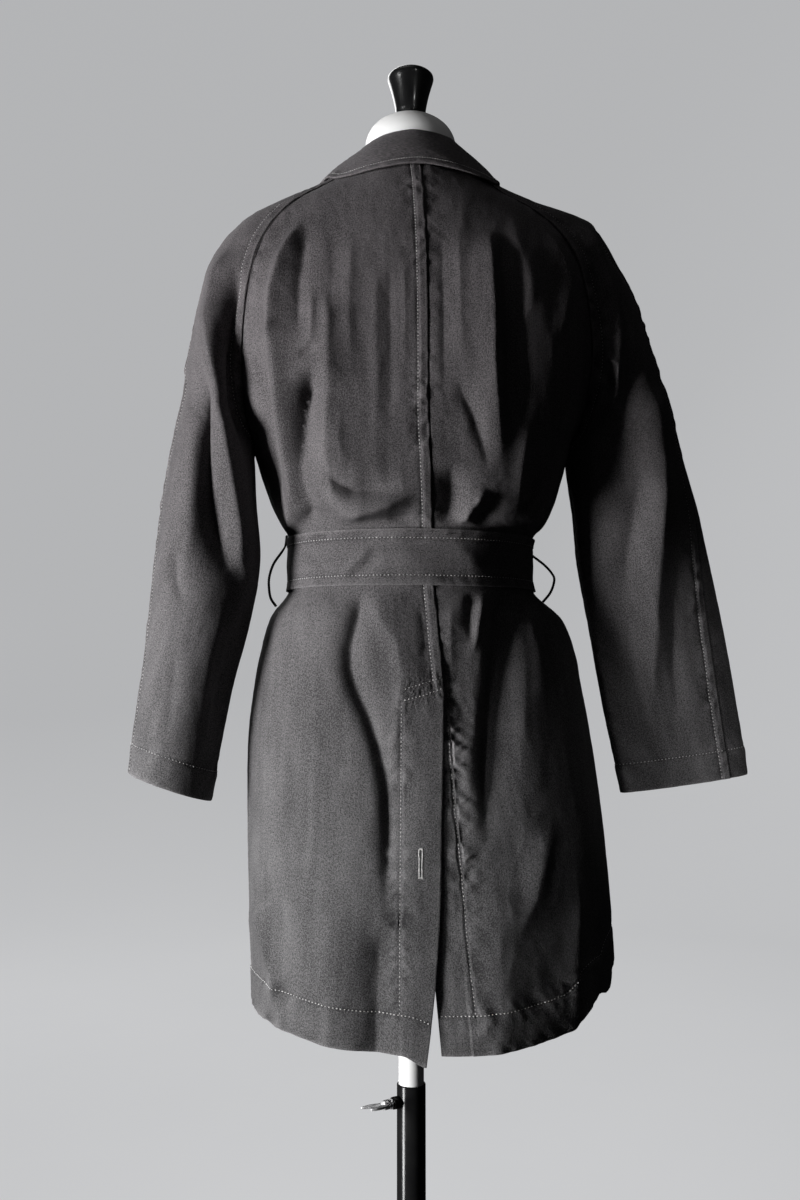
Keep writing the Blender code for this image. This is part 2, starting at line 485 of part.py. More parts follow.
def cloth_walls():
    """Every body and sleeve panel: (outer points, normals, mask)."""
    panels = {}
    # backs: u runs from the centre back to the side
    for side, name in ((1, "back_left"), (-1, "back_right")):
        u = np.linspace(0.0, 1.0, BODY_BACK_N)[None, :]
        start = centre_turn("cb" if side > 0 else "fold", body_t) * side
        turn = (start + (90.0 - start) * u) * side
        mask = np.ones((len(BODY_T) - 1, BODY_BACK_N - 1), bool)
        if side < 0:
            # the underlap reaches on past the centre, under the flap
            under = centre_turn("under", body_t)
            fold = turn[:, :1]
            extra = under + (fold - under) * np.linspace(0.0, 1.0, 4)[None, :-1]
            turn = np.concatenate((extra, turn), axis=1)
            more = np.repeat((body_t[:-1] >= VENT_TOP - 0.01), 3, axis=1)
            mask = np.concatenate((more, mask), axis=1)
        t = body_t + 0 * turn
        p, n = body_cloth(t, turn)
        shift = flap_offset(t, turn, side)
        if side < 0:
            past = ease(turn - centre_turn("fold", t), 0.0, 12.0)
            shift = np.where(turn > centre_turn("fold", t) - 0.01, -(FLAP + 0.0022 * past) * ease(t, 15.5, VENT_TOP), shift)
        p = p + n * shift[..., None]
        p[..., 2] += hem_drop(t, turn, side)
        panels[name] = [p, n, mask]
    # fronts: u runs from the side to past the centre front
    for side, name in ((1, "front_left"), (-1, "front_right")):
        u = np.linspace(0.0, 1.0, BODY_FRONT_N)[None, :]
        end = 180.0 + FRONT_LAP * ease(body_t, -4.0, -1.0)
        turn = side * (90.0001 + (end - 90.0001) * u)
        real = np.where(np.abs(turn) > 180.0, turn - side * 360.0, turn)
        t = body_t + 0 * turn
        p, n = body_cloth(t, real)
        p = p + n * front_offset(t, real, side)[..., None]
        panels[name] = [p, n, np.ones((len(BODY_T) - 1, BODY_FRONT_N - 1), bool)]
    # sleeves: u runs from the inner seam to the overarm seam, and from there on
    for side, word in ((1, "left"), (-1, "right")):
        for front in (False, True):
            u = np.linspace(0.0, 1.0, SLEEVE_N)[None, :]
            t = sleeve_t + 0 * u
            turn = sleeve_turns(side, t, u, front)
            p, n = sleeve_cloth(side, t, turn)
            edge = -1 if front else 0
            p[:, edge, 0] += side * ARMPIT * ease(sleeve_t[:, 0], 8.0, 9.0)
            name = "sleeve_%s_%s" % (word, "front" if front else "back")
            panels[name] = [p, n, np.ones((len(SLEEVE_T) - 1, SLEEVE_N - 1), bool)]
    return panels


def share_normals(a, b, least):
    """Gives two edges that meet along a seam one set of normals where they are
    nearly in line, so that the walls meet edge to edge."""
    together = np.sum(a * b, axis=-1) > least
    m = a + b
    m /= np.maximum(np.linalg.norm(m, axis=-1, keepdims=True), 1e-12)
    a[together] = m[together]
    b[together] = m[together]


COTTON = paint("washed_twill", (0.030, 0.028, 0.030), 0.85)
panels = cloth_walls()
walls_n = {}
for name, (p, n, mask) in panels.items():
    walls_n[name] = grid_normals(p, n)
upper = len([t for t in BODY_T if t <= UNDERARM])
above_vent = len([t for t in BODY_T if t <= VENT_TOP])
for word in ("left", "right"):
    back, front = walls_n["back_" + word], walls_n["front_" + word]
    sb, sf = walls_n["sleeve_%s_back" % word], walls_n["sleeve_%s_front" % word]
    for a, b, least in (
        (back[:upper - 1, -1], sb[:upper - 1, 0], 0.55),
        (front[:upper - 1, 0], sf[:upper - 1, -1], 0.55),
        (back[upper - 1:, -1], front[upper - 1:, 0], -0.2),
        (sb[:, -1], sf[:, 0], -0.2),
        (sb[upper - 1:, 0], sf[upper - 1:, -1], -0.9),
    ):
        share_normals(a, b, least)
share_normals(walls_n["back_left"][:above_vent - 4, 0], walls_n["back_right"][:above_vent - 4, 3], 0.5)

skins = {}
for name, (p, n, mask) in panels.items():
    back_right = name == "back_right"
    edges = [("left", 1, SEAM, None), ("right", 1, SEAM, None)]
    q = short_of_seams(p, edges)
    if back_right:
        # the centre back seam is inside the grid here, above the vent
        above = (body_t[:, 0] <= VENT_TOP).astype(float)
        d = p[:, 4] - p[:, 3]
        d /= np.linalg.norm(d, axis=-1, keepdims=True)
        q[:, 3] += d * SEAM * above[:, None]
    wall(name, q, q - walls_n[name] * CLOTH, mask, COTTON)
    skins[name] = (q, walls_n[name], mask)

# --------------------------------------------------------------------- collar
# One row for each section round the neck, from the centre back to the front
# end: neck_: where it is sewn on; crest_: top of its roll; edge_: the outer
# edge of the fall.
COLLAR_COLUMNS = ("neck_x", "neck_y", "neck_z", "crest_x", "crest_y", "crest_z", "edge_x", "edge_y", "edge_z")
COLLAR_ROWS = (
    (0.0000, 0.0570, 1.4629, 0.0000, 0.0555, 1.4946, 0.0000, 0.0845, 1.4508),
    (0.0318, 0.0490, 1.4635, 0.0305, 0.0455, 1.4935, 0.0462, 0.0770, 1.4472),
    (0.0524, 0.0285, 1.4651, 0.0505, 0.0200, 1.4930, 0.0821, 0.0500, 1.4490),
    (0.0611, -.0010, 1.4693, 0.0553, -.0030, 1.4938, 0.1000, -.0020, 1.4662),
    (0.0575, -.0300, 1.4597, 0.0514, -.0300, 1.4875, 0.1027, -.0460, 1.4524),
    (0.0451, -.0560, 1.4345, 0.0390, -.0575, 1.4640, 0.0860, -.0910, 1.3977),
    (0.0184, -.0700, 1.4166, 0.0144, -.0745, 1.4418, 0.0531, -.1170, 1.3507),
)
ROLL = 0.0042             # outer radius of the roll at the crest
COLLAR_SAG = (0.0085, 0.0010)  # the collar sits lower on the left shoulder than on the right


def collar_grid(spans, fall_steps):
    """Points of the collar's visible skin: up its inside, over the roll, down
    the fall; spans: places along the table, negative on the right."""
    rows = []
    for s in spans:
        side, t = (1 if s >= 0 else -1), abs(s)
        v = {n: float(read(COLLAR_ROWS, COLLAR_COLUMNS, n, t)) for n in COLLAR_COLUMNS}
        sag = COLLAR_SAG[0 if s >= 0 else 1] * float(ease(t, 0.0, 2.8) * (1 - ease(t, 3.2, 5.0)))
        v["neck_z"] -= 0.4 * sag
        v["crest_z"] -= 0.5 * sag
        v["edge_z"] -= sag
        neck, crest, edge = (
            np.array((side * v[k + "_x"], v[k + "_y"], v[k + "_z"])) for k in ("neck", "crest", "edge")
        )
        out = edge - neck
        out[2] = 0.0
        plan = np.array((crest[0], crest[1], 0.0))
        out = out / np.linalg.norm(out) * 0.5 + plan / np.linalg.norm(plan) * 0.5
        out /= np.linalg.norm(out)
        up = np.array((0.0, 0.0, 1.0))
        line = [neck, neck * 0.45 + (crest - out * ROLL) * 0.55]
        for a in (180, 125, 90, 50, 10):
            a = math.radians(a)
            line.append(crest + out * ROLL * math.cos(a) + up * ROLL * math.sin(a))
        start = line[-1]
        for k in range(1, fall_steps + 1):
            f = k / fall_steps
            bulge = (out * 0.6 + up * 0.8) * 0.0035 * 4 * f * (1 - f)
            line.append(start + (edge - start) * f + bulge)
        rows.append(line)
    return np.array(rows)


def stand_clear(points, least):
    """Moves points out until each is at least this far off the cloth under it."""
    verts, faces = [], []
    for q, _, mask in skins.values():
        base, cols = len(verts), q.shape[1]
        verts += [tuple(v) for v in q.reshape(-1, 3)]
        faces += [[base + i * cols + j, base + i * cols + j + 1, base + (i + 1) * cols + j + 1, base + (i + 1) * cols + j]
                  for i, j in zip(*np.nonzero(mask)) if i < 8]
    tree = BVHTree.FromPolygons(verts, faces)
    middle = mathutils.Vector((0.0, 0.0, 1.36))
    for index in np.ndindex(points.shape[:-1]):
        for _ in range(3):
            v = mathutils.Vector(points[index])
            place, n, _, away = tree.find_nearest(v)
            if n.dot(place - middle) < 0:
                n = -n
            high = (v - place).dot(n)
            if high < least and away < 0.04:
                points[index] = v + n * (least - high)


spans = np.linspace(-6.0, 6.0, 25)
skin = collar_grid(spans, 4)
fall = skin[:, 7:]
stand_clear(fall, COLLAR_THICK + 0.0026)
ring_axis = np.gradient(skin, axis=0)
down = np.gradient(skin, axis=1)
collar_n = np.cross(ring_axis, down)
collar_n /= np.linalg.norm(collar_n, axis=-1, keepdims=True)
if np.sum(collar_n[12, -1] * np.array((0, 1, 1))) < 0:
    collar_n = -collar_n
wall("collar", skin, skin - collar_n * COLLAR_THICK, np.ones((24, skin.shape[1] - 1), bool), COTTON)


# ----------------------------------------------------------------------- belt
def ring_turns(t):
    """The turns of the body panels' columns at section t, right front to left."""
    t = float(t)
    cb = float(centre_turn("cb", t))
    back_l = cb + (90.0 - cb) * np.linspace(0, 1, BODY_BACK_N)
    back_r = cb + (-90.0 - cb) * np.linspace(0, 1, BODY_BACK_N)
    front = 90.0001 + (90.0 + FRONT_LAP) * np.linspace(0, 1, BODY_FRONT_N)
    front = front[front < 179.0]
    return np.concatenate((-front[::-1], back_r[::-1][1:-1], back_l, front[1:]))


BELT_FREE_END = 58.0      # degrees that the belt's free end runs past the buckle
belt_rows = []
for t, drop in ((12.0, 0.0), (13.0, 0.0), (14.0, 0.0)):
    ring = ring_turns(t)
    lap = np.array((-180.0, -189.0, -203.2, -217.4, -231.0, -180.0 - BELT_FREE_END))
    turn = np.concatenate((lap[::-1], ring))
    real = np.where(turn < -180.0, turn + 360.0, turn)
    p, n = body_cloth(t + 0 * real, real)
    out = BELT_GAP + BELT_THICK + FLAP * (1 - ease(180.0 - np.abs(real), 12.0, 26.0))
    out = out + (BELT_THICK + 0.0012) * (1 - ease(turn, -192.0, -166.0))
    belt_rows.append((p + n * out[:, None], n))
outer = np.array([r[0] for r in belt_rows])
belt_n = np.array([r[1] for r in belt_rows])
belt_n[..., 2] = 0.0
belt_n /= np.linalg.norm(belt_n, axis=-1, keepdims=True)
wall("belt", outer, outer - belt_n * BELT_THICK, np.ones((2, outer.shape[1] - 1), bool), COTTON)

# the buckle: a rounded rectangular slide round the belt at the centre front
horn = paint("horn", (0.035, 0.022, 0.016), 0.35)
mid_z = float(body("zf", 13.0))
face_y = -float(body("front", 12.0)) - BELT_GAP - 2 * BELT_THICK - FLAP - 0.0020


def frame(name, centre, wide, tall, bar, deep, corner, material):
    """A flat rectangular frame with rounded corners, facing -Y."""
    def outline(w, h, r, y):
        ring = []
        for cx, cz, a0 in ((w - r, h - r, 0), (-w + r, h - r, 90), (-w + r, -h + r, 180), (w - r, -h + r, 270)):
            for k in range(5):
                a = math.radians(a0 + 22.5 * k)
                ring.append((centre[0] + cx + r * math.cos(a), y, centre[2] + cz + r * math.sin(a)))
        return ring

    mesh = bmesh.new()
    loops = []
    for w, h, r, y in (
        (wide, tall, corner, centre[1]),
        (wide, tall, corner, centre[1] - deep),
        (wide - bar, tall - bar, corner - bar * 0.6, centre[1] - deep),
        (wide - bar, tall - bar, corner - bar * 0.6, centre[1]),
    ):
        loops.append([mesh.verts.new(v) for v in outline(w, h, r, y)])
    for a, b in zip(loops, loops[1:] + loops[:1]):
        for k in range(len(a)):
            m = (k + 1) % len(a)
            mesh.faces.new((a[k], a[m], b[m], b[k]))
    return finish(name, mesh, material)


frame("belt_buckle", (0.0, face_y - 0.0006, mid_z), 0.027, 0.0345, 0.0055, 0.0040, 0.007, horn)

# thread loops that hang off the belt at the side seams: x, z of each bend
LOOP_R = 0.0016
LOOP_COLUMNS = ("x", "z")
LOOP_LEFT = ((0.1371, 1.0571), (0.1461, 1.0435), (0.1506, 1.0299), (0.1513, 1.0188), (0.1494, 1.0057))
LOOP_RIGHT = ((-.1359, 1.0571), (-.1487, 1.0460), (-.1561, 1.0364), (-.1578, 1.0284), (-.1524, 1.0148))
for side, rows, low_t in ((1, LOOP_LEFT, 14.62), (-1, LOOP_RIGHT, 14.40)):
    top, n = body_cloth(np.array([11.62]), np.array([side * 103.0]))
    foot, m = body_cloth(np.array([low_t]), np.array([side * 90.0]))
    points = [top[0] + n[0] * (LOOP_R + 0.0006), top[0] + n[0] * 0.0036 + np.array((0, 0, -0.009))]
    points += [np.array((x, SIDE_Y - 0.018 * (1 - k / 4.0), z)) for k, (x, z) in enumerate(rows)]
    points += [foot[0] + m[0] * (LOOP_R + 0.0006)]
    points = np.array(points)
    line = [read([tuple(p) for p in points], ("x", "y", "z"), k, np.linspace(0, len(points) - 1, 25)) for k in "xyz"]
    curve = bpy.data.curves.new("belt_loop", "CURVE")
    curve.dimensions = "3D"
    curve.bevel_depth = LOOP_R
    curve.bevel_resolution = 2
    curve.use_fill_caps = True
    spline = curve.splines.new("POLY")
    spline.points.add(24)
    for k, xyz in enumerate(zip(*line)):
        spline.points[k].co = (*xyz, 1.0)
    curve.materials.append(COTTON)
    loop = bpy.data.objects.new("belt_loop_left" if side > 0 else "belt_loop_right", curve)
    bpy.context.collection.objects.link(loop)


# -------------------------------------------------------------- turned pieces
def turned(name, profile, steps, material, place=(0, 0, 0), axis="Z"):
    """Spins a profile of (radius, height) round an axis; a profile that starts
    or ends on the axis is closed there, any other is closed on itself."""
    mesh = bmesh.new()
    rings = []
    for r, h in profile:
        if r < 1e-7:
            rings.append([mesh.verts.new((0, 0, h))])
        else:
            rings.append([
                mesh.verts.new((r * math.cos(2 * math.pi * k / steps), r * math.sin(2 * math.pi * k / steps), h))
                for k in range(steps)
            ])
    closed = len(rings[0]) > 1 and len(rings[-1]) > 1
    pairs = list(zip(rings, rings[1:])) + ([(rings[-1], rings[0])] if closed else [])
    for a, b in pairs:
        for k in range(steps):
            m = (k + 1) % steps
            ring = [a[k % len(a)], a[m % len(a)], b[m % len(b)], b[k % len(b)]]
            mesh.faces.new(list(dict.fromkeys(ring)))
    if axis != "Z":
        turn = {"X": ("Y", 90), "-Y": ("X", 90)}[axis]
        bmesh.ops.transform(mesh, matrix=mathutils.Matrix.Rotation(math.radians(turn[1]), 4, turn[0]), verts=mesh.verts)
    obj = finish(name, mesh, material)
    obj.location = place
    return obj


# front buttons: on the button edge at the centre front
BUTTON_COLUMNS = ("t",)
BUTTON_ROWS = ((3.0,), (5.6,), (8.1,), (16.3,), (18.1,), (19.4,))
for k, (t,) in enumerate(BUTTON_ROWS):
    p, n = body_cloth(np.array([t]), np.array([-179.9]))
    p = p[0] + n[0] * (FLAP + 0.0012)
    button = turned(
        "front_button_%d" % (k + 1),
        ((0, 0), (BUTTON_R - 0.001, 0), (BUTTON_R, 0.001), (BUTTON_R, BUTTON_H - 0.0008), (BUTTON_R - 0.0012, BUTTON_H),
         (BUTTON_R - 0.003, BUTTON_H - 0.0002), (BUTTON_R - 0.0042, BUTTON_H - 0.0011), (0, BUTTON_H - 0.0013)),
        20, horn,
    )
    tilt = math.atan2(n[0][2], -n[0][1])
    button.rotation_euler = (math.pi / 2 - tilt, 0.0, 0.0)
    button.location = (p[0], p[1], p[2])

# ------------------------------------------------------------- the dress form
# One row for each ring of the form: half width, depth behind and in front, and
# how square its outline is.
FORM_COLUMNS = ("z", "half", "back", "front", "square")
FORM_ROWS = (
    (0.8011, 0.1239, 0.0880, 0.0910, 2.2),
    (0.8040, 0.1299, 0.0930, 0.0960, 2.2),
    (0.8158, 0.1359, 0.0980, 0.1000, 2.2),
    (0.8602, 0.1472, 0.1040, 0.1030, 2.2),
    (0.9048, 0.1495, 0.1040, 0.1020, 2.2),
    (0.9497, 0.1419, 0.0980, 0.0970, 2.2),
    (0.9847, 0.1302, 0.0910, 0.0900, 2.2),
    (1.0198, 0.1164, 0.0850, 0.0840, 2.2),
    (1.0450, 0.1115, 0.0820, 0.0820, 2.2),
    (1.0804, 0.1157, 0.0850, 0.0870, 2.2),
    (1.1210, 0.1251, 0.0920, 0.0960, 2.2),
    (1.1669, 0.1355, 0.0980, 0.1050, 2.2),
    (1.2130, 0.1429, 0.1010, 0.1090, 2.2),
    (1.2542, 0.1463, 0.1010, 0.1060, 2.2),
    (1.2956, 0.1486, 0.0970, 0.0970, 2.1),
    (1.3371, 0.1490, 0.0890, 0.0840, 2.0),
    (1.3684, 0.1462, 0.0780, 0.0710, 1.9),
    (1.3946, 0.1372, 0.0660, 0.0590, 1.8),
    (1.4134, 0.1219, 0.0570, 0.0520, 1.8),
    (1.4292, 0.1025, 0.0500, 0.0480, 1.8),
    (1.4429, 0.0821, 0.0460, 0.0460, 1.8),
    (1.4555, 0.0637, 0.0440, 0.0450, 1.9),
    (1.4692, 0.0534, 0.0440, 0.0450, 2.0),
    (1.4840, 0.0498, 0.0440, 0.0450, 2.0),
    (1.4990, 0.0500, 0.0440, 0.0450, 2.0),
    (1.5100, 0.0488, 0.0430, 0.0435, 2.0),
    (1.5190, 0.0450, 0.0395, 0.0400, 2.0),
    (1.5262, 0.0390, 0.0345, 0.0350, 2.0),
    (1.5316, 0.0310, 0.0285, 0.0290, 2.0),
    (1.5352, 0.0225, 0.0215, 0.0215, 2.0),
    (1.5368, 0.0155, 0.0150, 0.0150, 2.0),
)
FORM_STEPS = 28
linen = paint("form_cover", (0.80, 0.80, 0.80), 0.75)
mesh = bmesh.new()
rings = []
for z, half, back, front, square in FORM_ROWS:
    ring = []
    for k in range(FORM_STEPS):
        a = 2 * math.pi * k / FORM_STEPS
        c, s = math.cos(a), math.sin(a)
        x = half * math.copysign(abs(c) ** (2 / square), c)
        y = (back if s >= 0 else front) * math.copysign(abs(s) ** (2 / square), s)
        ring.append(mesh.verts.new((x, y, z)))
    rings.append(ring)
mesh.faces.new(rings[0])
mesh.faces.new(rings[-1])
for a, b in zip(rings, rings[1:]):
    for k in range(FORM_STEPS):
        m = (k + 1) % FORM_STEPS
        mesh.faces.new((a[k], a[m], b[m], b[k]))
finish("form_body", mesh, linen)

black = paint("black_lacquer", (0.012, 0.012, 0.013), 0.22)
turned(
    "neck_cap",
    ((0, 1.5372), (0.0152, 1.5372), (0.0160, 1.5384), (0.0164, 1.5430), (0.0178, 1.5520), (0.0203, 1.5630),
     (0.0231, 1.5730), (0.0249, 1.5788), (0.0252, 1.5814), (0.0242, 1.5843), (0.0196, 1.5878), (0.0112, 1.5900), (0, 1.5907)),
    28, black,
)

# ---------------------------------------------------------------- the stand
white = paint("white_enamel", (0.78, 0.78, 0.78), 0.35)
tube_black = paint("black_enamel", (0.015, 0.015, 0.016), 0.3)
chrome = paint("bright_steel", (0.62, 0.62, 0.63), 0.22, 1.0)
turned(
    "form_post",
    ((0, POST_LOW), (POST_R - 0.001, POST_LOW), (POST_R, POST_LOW + 0.001), (POST_R, POST_TOP), (0, POST_TOP)),
    24, white,
)
turned(
    "stand_tube",
    ((TUBE_BORE_R, BASE_H + 0.0003), (TUBE_R, BASE_H + 0.0003), (TUBE_R, TUBE_TOP - 0.0006),
     (TUBE_R - 0.0006, TUBE_TOP), (TUBE_BORE_R, TUBE_TOP)),
    24, tube_black,
)
turned(
    "stand_base",
    ((0, 0), (BASE_R - 0.002, 0), (BASE_R, 0.002), (BASE_R, BASE_H - 0.004), (BASE_R - 0.004, BASE_H), (0, BASE_H)),
    48, tube_black,
)
turned(
    "base_hub",
    ((TUBE_R + 0.0003, BASE_H + 0.0003), (0.0300, BASE_H + 0.0003), (0.0300, 0.0180), (0.0200, 0.0300), (0.0180, 0.0340),
     (TUBE_R + 0.0003, 0.0340)),
    24, tube_black,
)
boss = turned(
    "screw_boss",
    ((0.0034, 0.0), (0.0056, 0.0), (0.0062, 0.0012), (0.0062, 0.0070), (0.0052, 0.0082), (0.0034, 0.0082)),
    20, tube_black, axis="X",
)
boss.location = ((TUBE_R + 0.0004) * math.cos(SCREW_TURN), (TUBE_R + 0.0004) * math.sin(SCREW_TURN), SCREW_Z)
boss.rotation_euler = (0.0, 0.0, SCREW_TURN)

# the wing screw: a threaded stem through the boss, a hub and two wings
SCREW_R, HUB_R = 0.0030, 0.0048
SCREW_FROM, WASHER, HUB_FROM, HUB_TO = TUBE_R + 0.0006, 0.0243, 0.0272, 0.0350
mesh = bmesh.new()
steps = 16
profile = ((0, SCREW_FROM), (SCREW_R, SCREW_FROM), (SCREW_R, WASHER), (0.0054, WASHER + 0.0002), (0.0054, WASHER + 0.0014),
           (SCREW_R, WASHER + 0.0016), (SCREW_R, HUB_FROM), (HUB_R, HUB_FROM + 0.0006), (HUB_R, HUB_TO - 0.001),
           (HUB_R - 0.0012, HUB_TO), (0, HUB_TO))
rings = []
for r, h in profile:
    if r < 1e-7:
        rings.append([mesh.verts.new((h, 0, 0))])
    else:
        rings.append([mesh.verts.new((h, r * math.cos(2 * math.pi * (k + 0.5) / steps), r * math.sin(2 * math.pi * (k + 0.5) / steps)))
                      for k in range(steps)])
for a, b in zip(rings, rings[1:]):
    for k in range(steps):
        m = (k + 1) % steps
        mesh.faces.new(list(dict.fromkeys([a[k % len(a)], a[m % len(a)], b[m % len(b)], b[k % len(b)]])))
stem = finish("wing_screw", mesh, chrome)
stem.location = (0.0, 0.0, SCREW_Z)
stem.rotation_euler = (WING_ROLL, 0.0, SCREW_TURN)
WING_COLUMNS = ("out", "across", "half_thick")
WING_ROWS = ((0.0282, 0.0030, 0.0016), (0.0315, 0.0082, 0.0014), (0.0385, 0.0126, 0.0014), (0.0470, 0.0136, 0.0014),
             (0.0530, 0.0120, 0.0013), (0.0545, 0.0095, 0.0012), (0.0495, 0.0066, 0.0013), (0.0410, 0.0042, 0.0014),
             (0.0344, 0.0020, 0.0016))
for side in (1, -1):
    mesh = bmesh.new()
    rims = []
    for s in (1, -1):
        rims.append([mesh.verts.new((out, side * across, s * thick)) for out, across, thick in WING_ROWS])
    mesh.faces.new(rims[0])
    mesh.faces.new(rims[1])
    for k in range(len(WING_ROWS)):
        m = (k + 1) % len(WING_ROWS)
        mesh.faces.new((rims[0][k], rims[0][m], rims[1][m], rims[1][k]))
    wing = finish("wing_cutter", mesh, chrome)
    wing.name = "wing_%s" % ("back" if side > 0 else "front")
    wing.location = (0.0, 0.0, SCREW_Z)
    wing.rotation_euler = (WING_ROLL, 0.0, SCREW_TURN)
    wing.hide_render = True
    wing.display_type = "WIRE"
    join = stem.modifiers.new("wing_%d" % side, "BOOLEAN")
    join.operation = "UNION"
    join.solver = "EXACT"
    join.object = wing
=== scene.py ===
"""Visual model of a belted raglan trench coat on a dress form with a pole stand.

It has the CAD's frame: metres, +Z up, the origin at the centre of the base
plate's underside, the coat's front towards -Y and its back towards +Y, and +X
on the wearer's left. The section tables and the functions that read them are
the CAD's own, and the cloth here is a finer skin on the same forms.
"""
import json
import math

import bmesh
import bpy
import mathutils
import numpy as np
from mathutils.bvhtree import BVHTree
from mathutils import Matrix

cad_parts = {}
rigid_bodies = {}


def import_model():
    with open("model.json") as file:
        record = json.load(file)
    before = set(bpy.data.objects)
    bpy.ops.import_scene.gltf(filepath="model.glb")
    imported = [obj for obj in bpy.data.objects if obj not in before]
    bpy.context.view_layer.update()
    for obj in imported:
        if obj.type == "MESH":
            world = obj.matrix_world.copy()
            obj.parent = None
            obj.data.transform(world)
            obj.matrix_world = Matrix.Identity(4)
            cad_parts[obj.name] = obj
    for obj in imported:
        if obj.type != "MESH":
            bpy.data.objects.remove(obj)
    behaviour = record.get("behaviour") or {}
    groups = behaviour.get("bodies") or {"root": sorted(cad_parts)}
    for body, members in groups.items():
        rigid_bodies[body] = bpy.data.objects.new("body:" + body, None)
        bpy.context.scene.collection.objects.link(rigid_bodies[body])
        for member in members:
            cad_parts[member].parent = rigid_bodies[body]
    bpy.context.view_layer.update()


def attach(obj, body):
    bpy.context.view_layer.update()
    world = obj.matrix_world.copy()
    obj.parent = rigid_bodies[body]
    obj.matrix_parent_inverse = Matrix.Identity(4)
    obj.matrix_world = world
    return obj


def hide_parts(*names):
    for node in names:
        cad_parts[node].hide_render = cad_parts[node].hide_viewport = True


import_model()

# ---------------------------------------------------------------- sizes (m)
CLOTH = 0.0015            # washed cotton twill with its seam turnings
SEAM = 0.00016            # each panel stops this far short of a seam line
ARMPIT = 0.0007           # the sleeve stands this far off the body at the underarm
FLAP = 0.0014             # the vent flap and the button edge stand off by this
BELT_GAP = 0.0008         # belt clear of the coat
BELT_THICK = 0.0022
COLLAR_THICK = 0.0020
BASE_R, BASE_H = 0.180, 0.012
TUBE_R, TUBE_BORE_R, TUBE_TOP = 0.0150, 0.0136, 0.5010
POST_R, POST_LOW, POST_TOP = 0.0132, 0.150, 0.8007
SCREW_Z = 0.4845
SCREW_TURN, WING_ROLL = math.radians(24), math.radians(12)   # the clamp points to the left
BUTTON_R, BUTTON_H = 0.0115, 0.0032

# ------------------------------------------------- body sections, top to hem
# One row for each section. z: height at the centre back; zf: at the centre
# front; mid, half: centre and half width (sections 9 to 22 only; above them the
# raglan seams end the panels); back, front: depth at the centre back and front;
# cb: the centre back seam, then the flap's edge; under: the underlap's edge;
# fold: where the underlap turns in; flat, round: shape of the section's curve.
BODY_COLUMNS = ("z", "zf", "mid", "half", "back", "front", "cb", "under", "fold", "flat", "round")
BODY_ROWS = (
    (1.4682, 1.4155, 0.0000, 0.1721, 0.0620, 0.0780, 0.0000, 0.0216, 0.0000, 2.0, 1.00),  # 0 neckline
    (1.4481, 1.4051, 0.0000, 0.1719, 0.0770, 0.0850, 0.0000, 0.0216, 0.0000, 2.0, 1.00),  # 1
    (1.4208, 1.3893, 0.0000, 0.1717, 0.0910, 0.0940, 0.0000, 0.0215, 0.0000, 2.1, 1.00),  # 2
    (1.3935, 1.3684, 0.0000, 0.1714, 0.1020, 0.1040, 0.0000, 0.0215, 0.0000, 2.2, 1.00),  # 3
    (1.3601, 1.3423, 0.0000, 0.1711, 0.1120, 0.1130, 0.0000, 0.0215, 0.0000, 2.6, 1.00),  # 4
    (1.3246, 1.3111, 0.0000, 0.1708, 0.1190, 0.1210, 0.0000, 0.0214, 0.0000, 3.0, 0.98),  # 5
    (1.2800, 1.2749, 0.0000, 0.1704, 0.1235, 0.1270, 0.0000, 0.0214, 0.0000, 3.4, 0.92),  # 6
    (1.2356, 1.2336, 0.0000, 0.1700, 0.1250, 0.1300, 0.0000, 0.0213, 0.0000, 3.6, 0.80),  # 7
    (1.1925, 1.1925, -.0005, 0.1701, 0.1240, 0.1290, 0.0000, 0.0213, 0.0000, 3.6, 0.66),  # 8
    (1.1643, 1.1643, -.0010, 0.1693, 0.1230, 0.1270, -.0010, 0.0212, -.0010, 3.6, 0.55),  # 9 underarm
    (1.1129, 1.1129, -.0013, 0.1534, 0.1195, 0.1190, -.0040, 0.0212, -.0040, 3.6, 0.52),  # 10
    (1.0875, 1.0875, -.0015, 0.1420, 0.1150, 0.1120, -.0055, 0.0211, -.0055, 3.2, 0.50),  # 11
    (1.0693, 1.0693, 0.0005, 0.1302, 0.1050, 0.1030, -.0070, 0.0211, -.0070, 2.2, 0.50),  # 12 belt top
    (1.0410, 1.0410, 0.0010, 0.1288, 0.1020, 0.1000, -.0078, 0.0211, -.0078, 2.2, 0.50),  # 13
    (1.0123, 1.0123, -.0002, 0.1306, 0.1040, 0.1020, -.0085, 0.0211, -.0085, 2.2, 0.50),  # 14 belt bottom
    (0.9847, 0.9847, -.0059, 0.1554, 0.1110, 0.1090, -.0100, 0.0210, -.0100, 2.3, 0.50),  # 15
    (0.9497, 0.9497, -.0081, 0.1674, 0.1170, 0.1150, -.0122, 0.0210, -.0122, 2.3, 0.49),  # 16
    (0.9148, 0.9148, -.0078, 0.1734, 0.1225, 0.1195, -.0143, 0.0209, -.0143, 2.4, 0.48),  # 17 top of vent
    (0.8602, 0.8602, -.0093, 0.1808, 0.1290, 0.1250, -.0128, 0.0189, -.0174, 2.4, 0.47),  # 18
    (0.7913, 0.7913, -.0137, 0.1854, 0.1345, 0.1300, -.0104, 0.0124, -.0213, 2.5, 0.46),  # 19
    (0.7034, 0.7034, -.0187, 0.1882, 0.1400, 0.1350, -.0077, 0.0039, -.0256, 2.5, 0.46),  # 20
    (0.6259, 0.6259, -.0209, 0.1880, 0.1440, 0.1390, -.0015, -.0034, -.0314, 2.5, 0.46),  # 21
    (0.5721, 0.5721, -.0220, 0.1876, 0.1460, 0.1410, 0.0064, -.0083, -.0362, 2.5, 0.46),  # 22 hem
)
UNDERARM, VENT_TOP, HEM = 9.0, 17.0, 22.0
SIDE_Y = 0.004            # the side seams sit just behind the middle
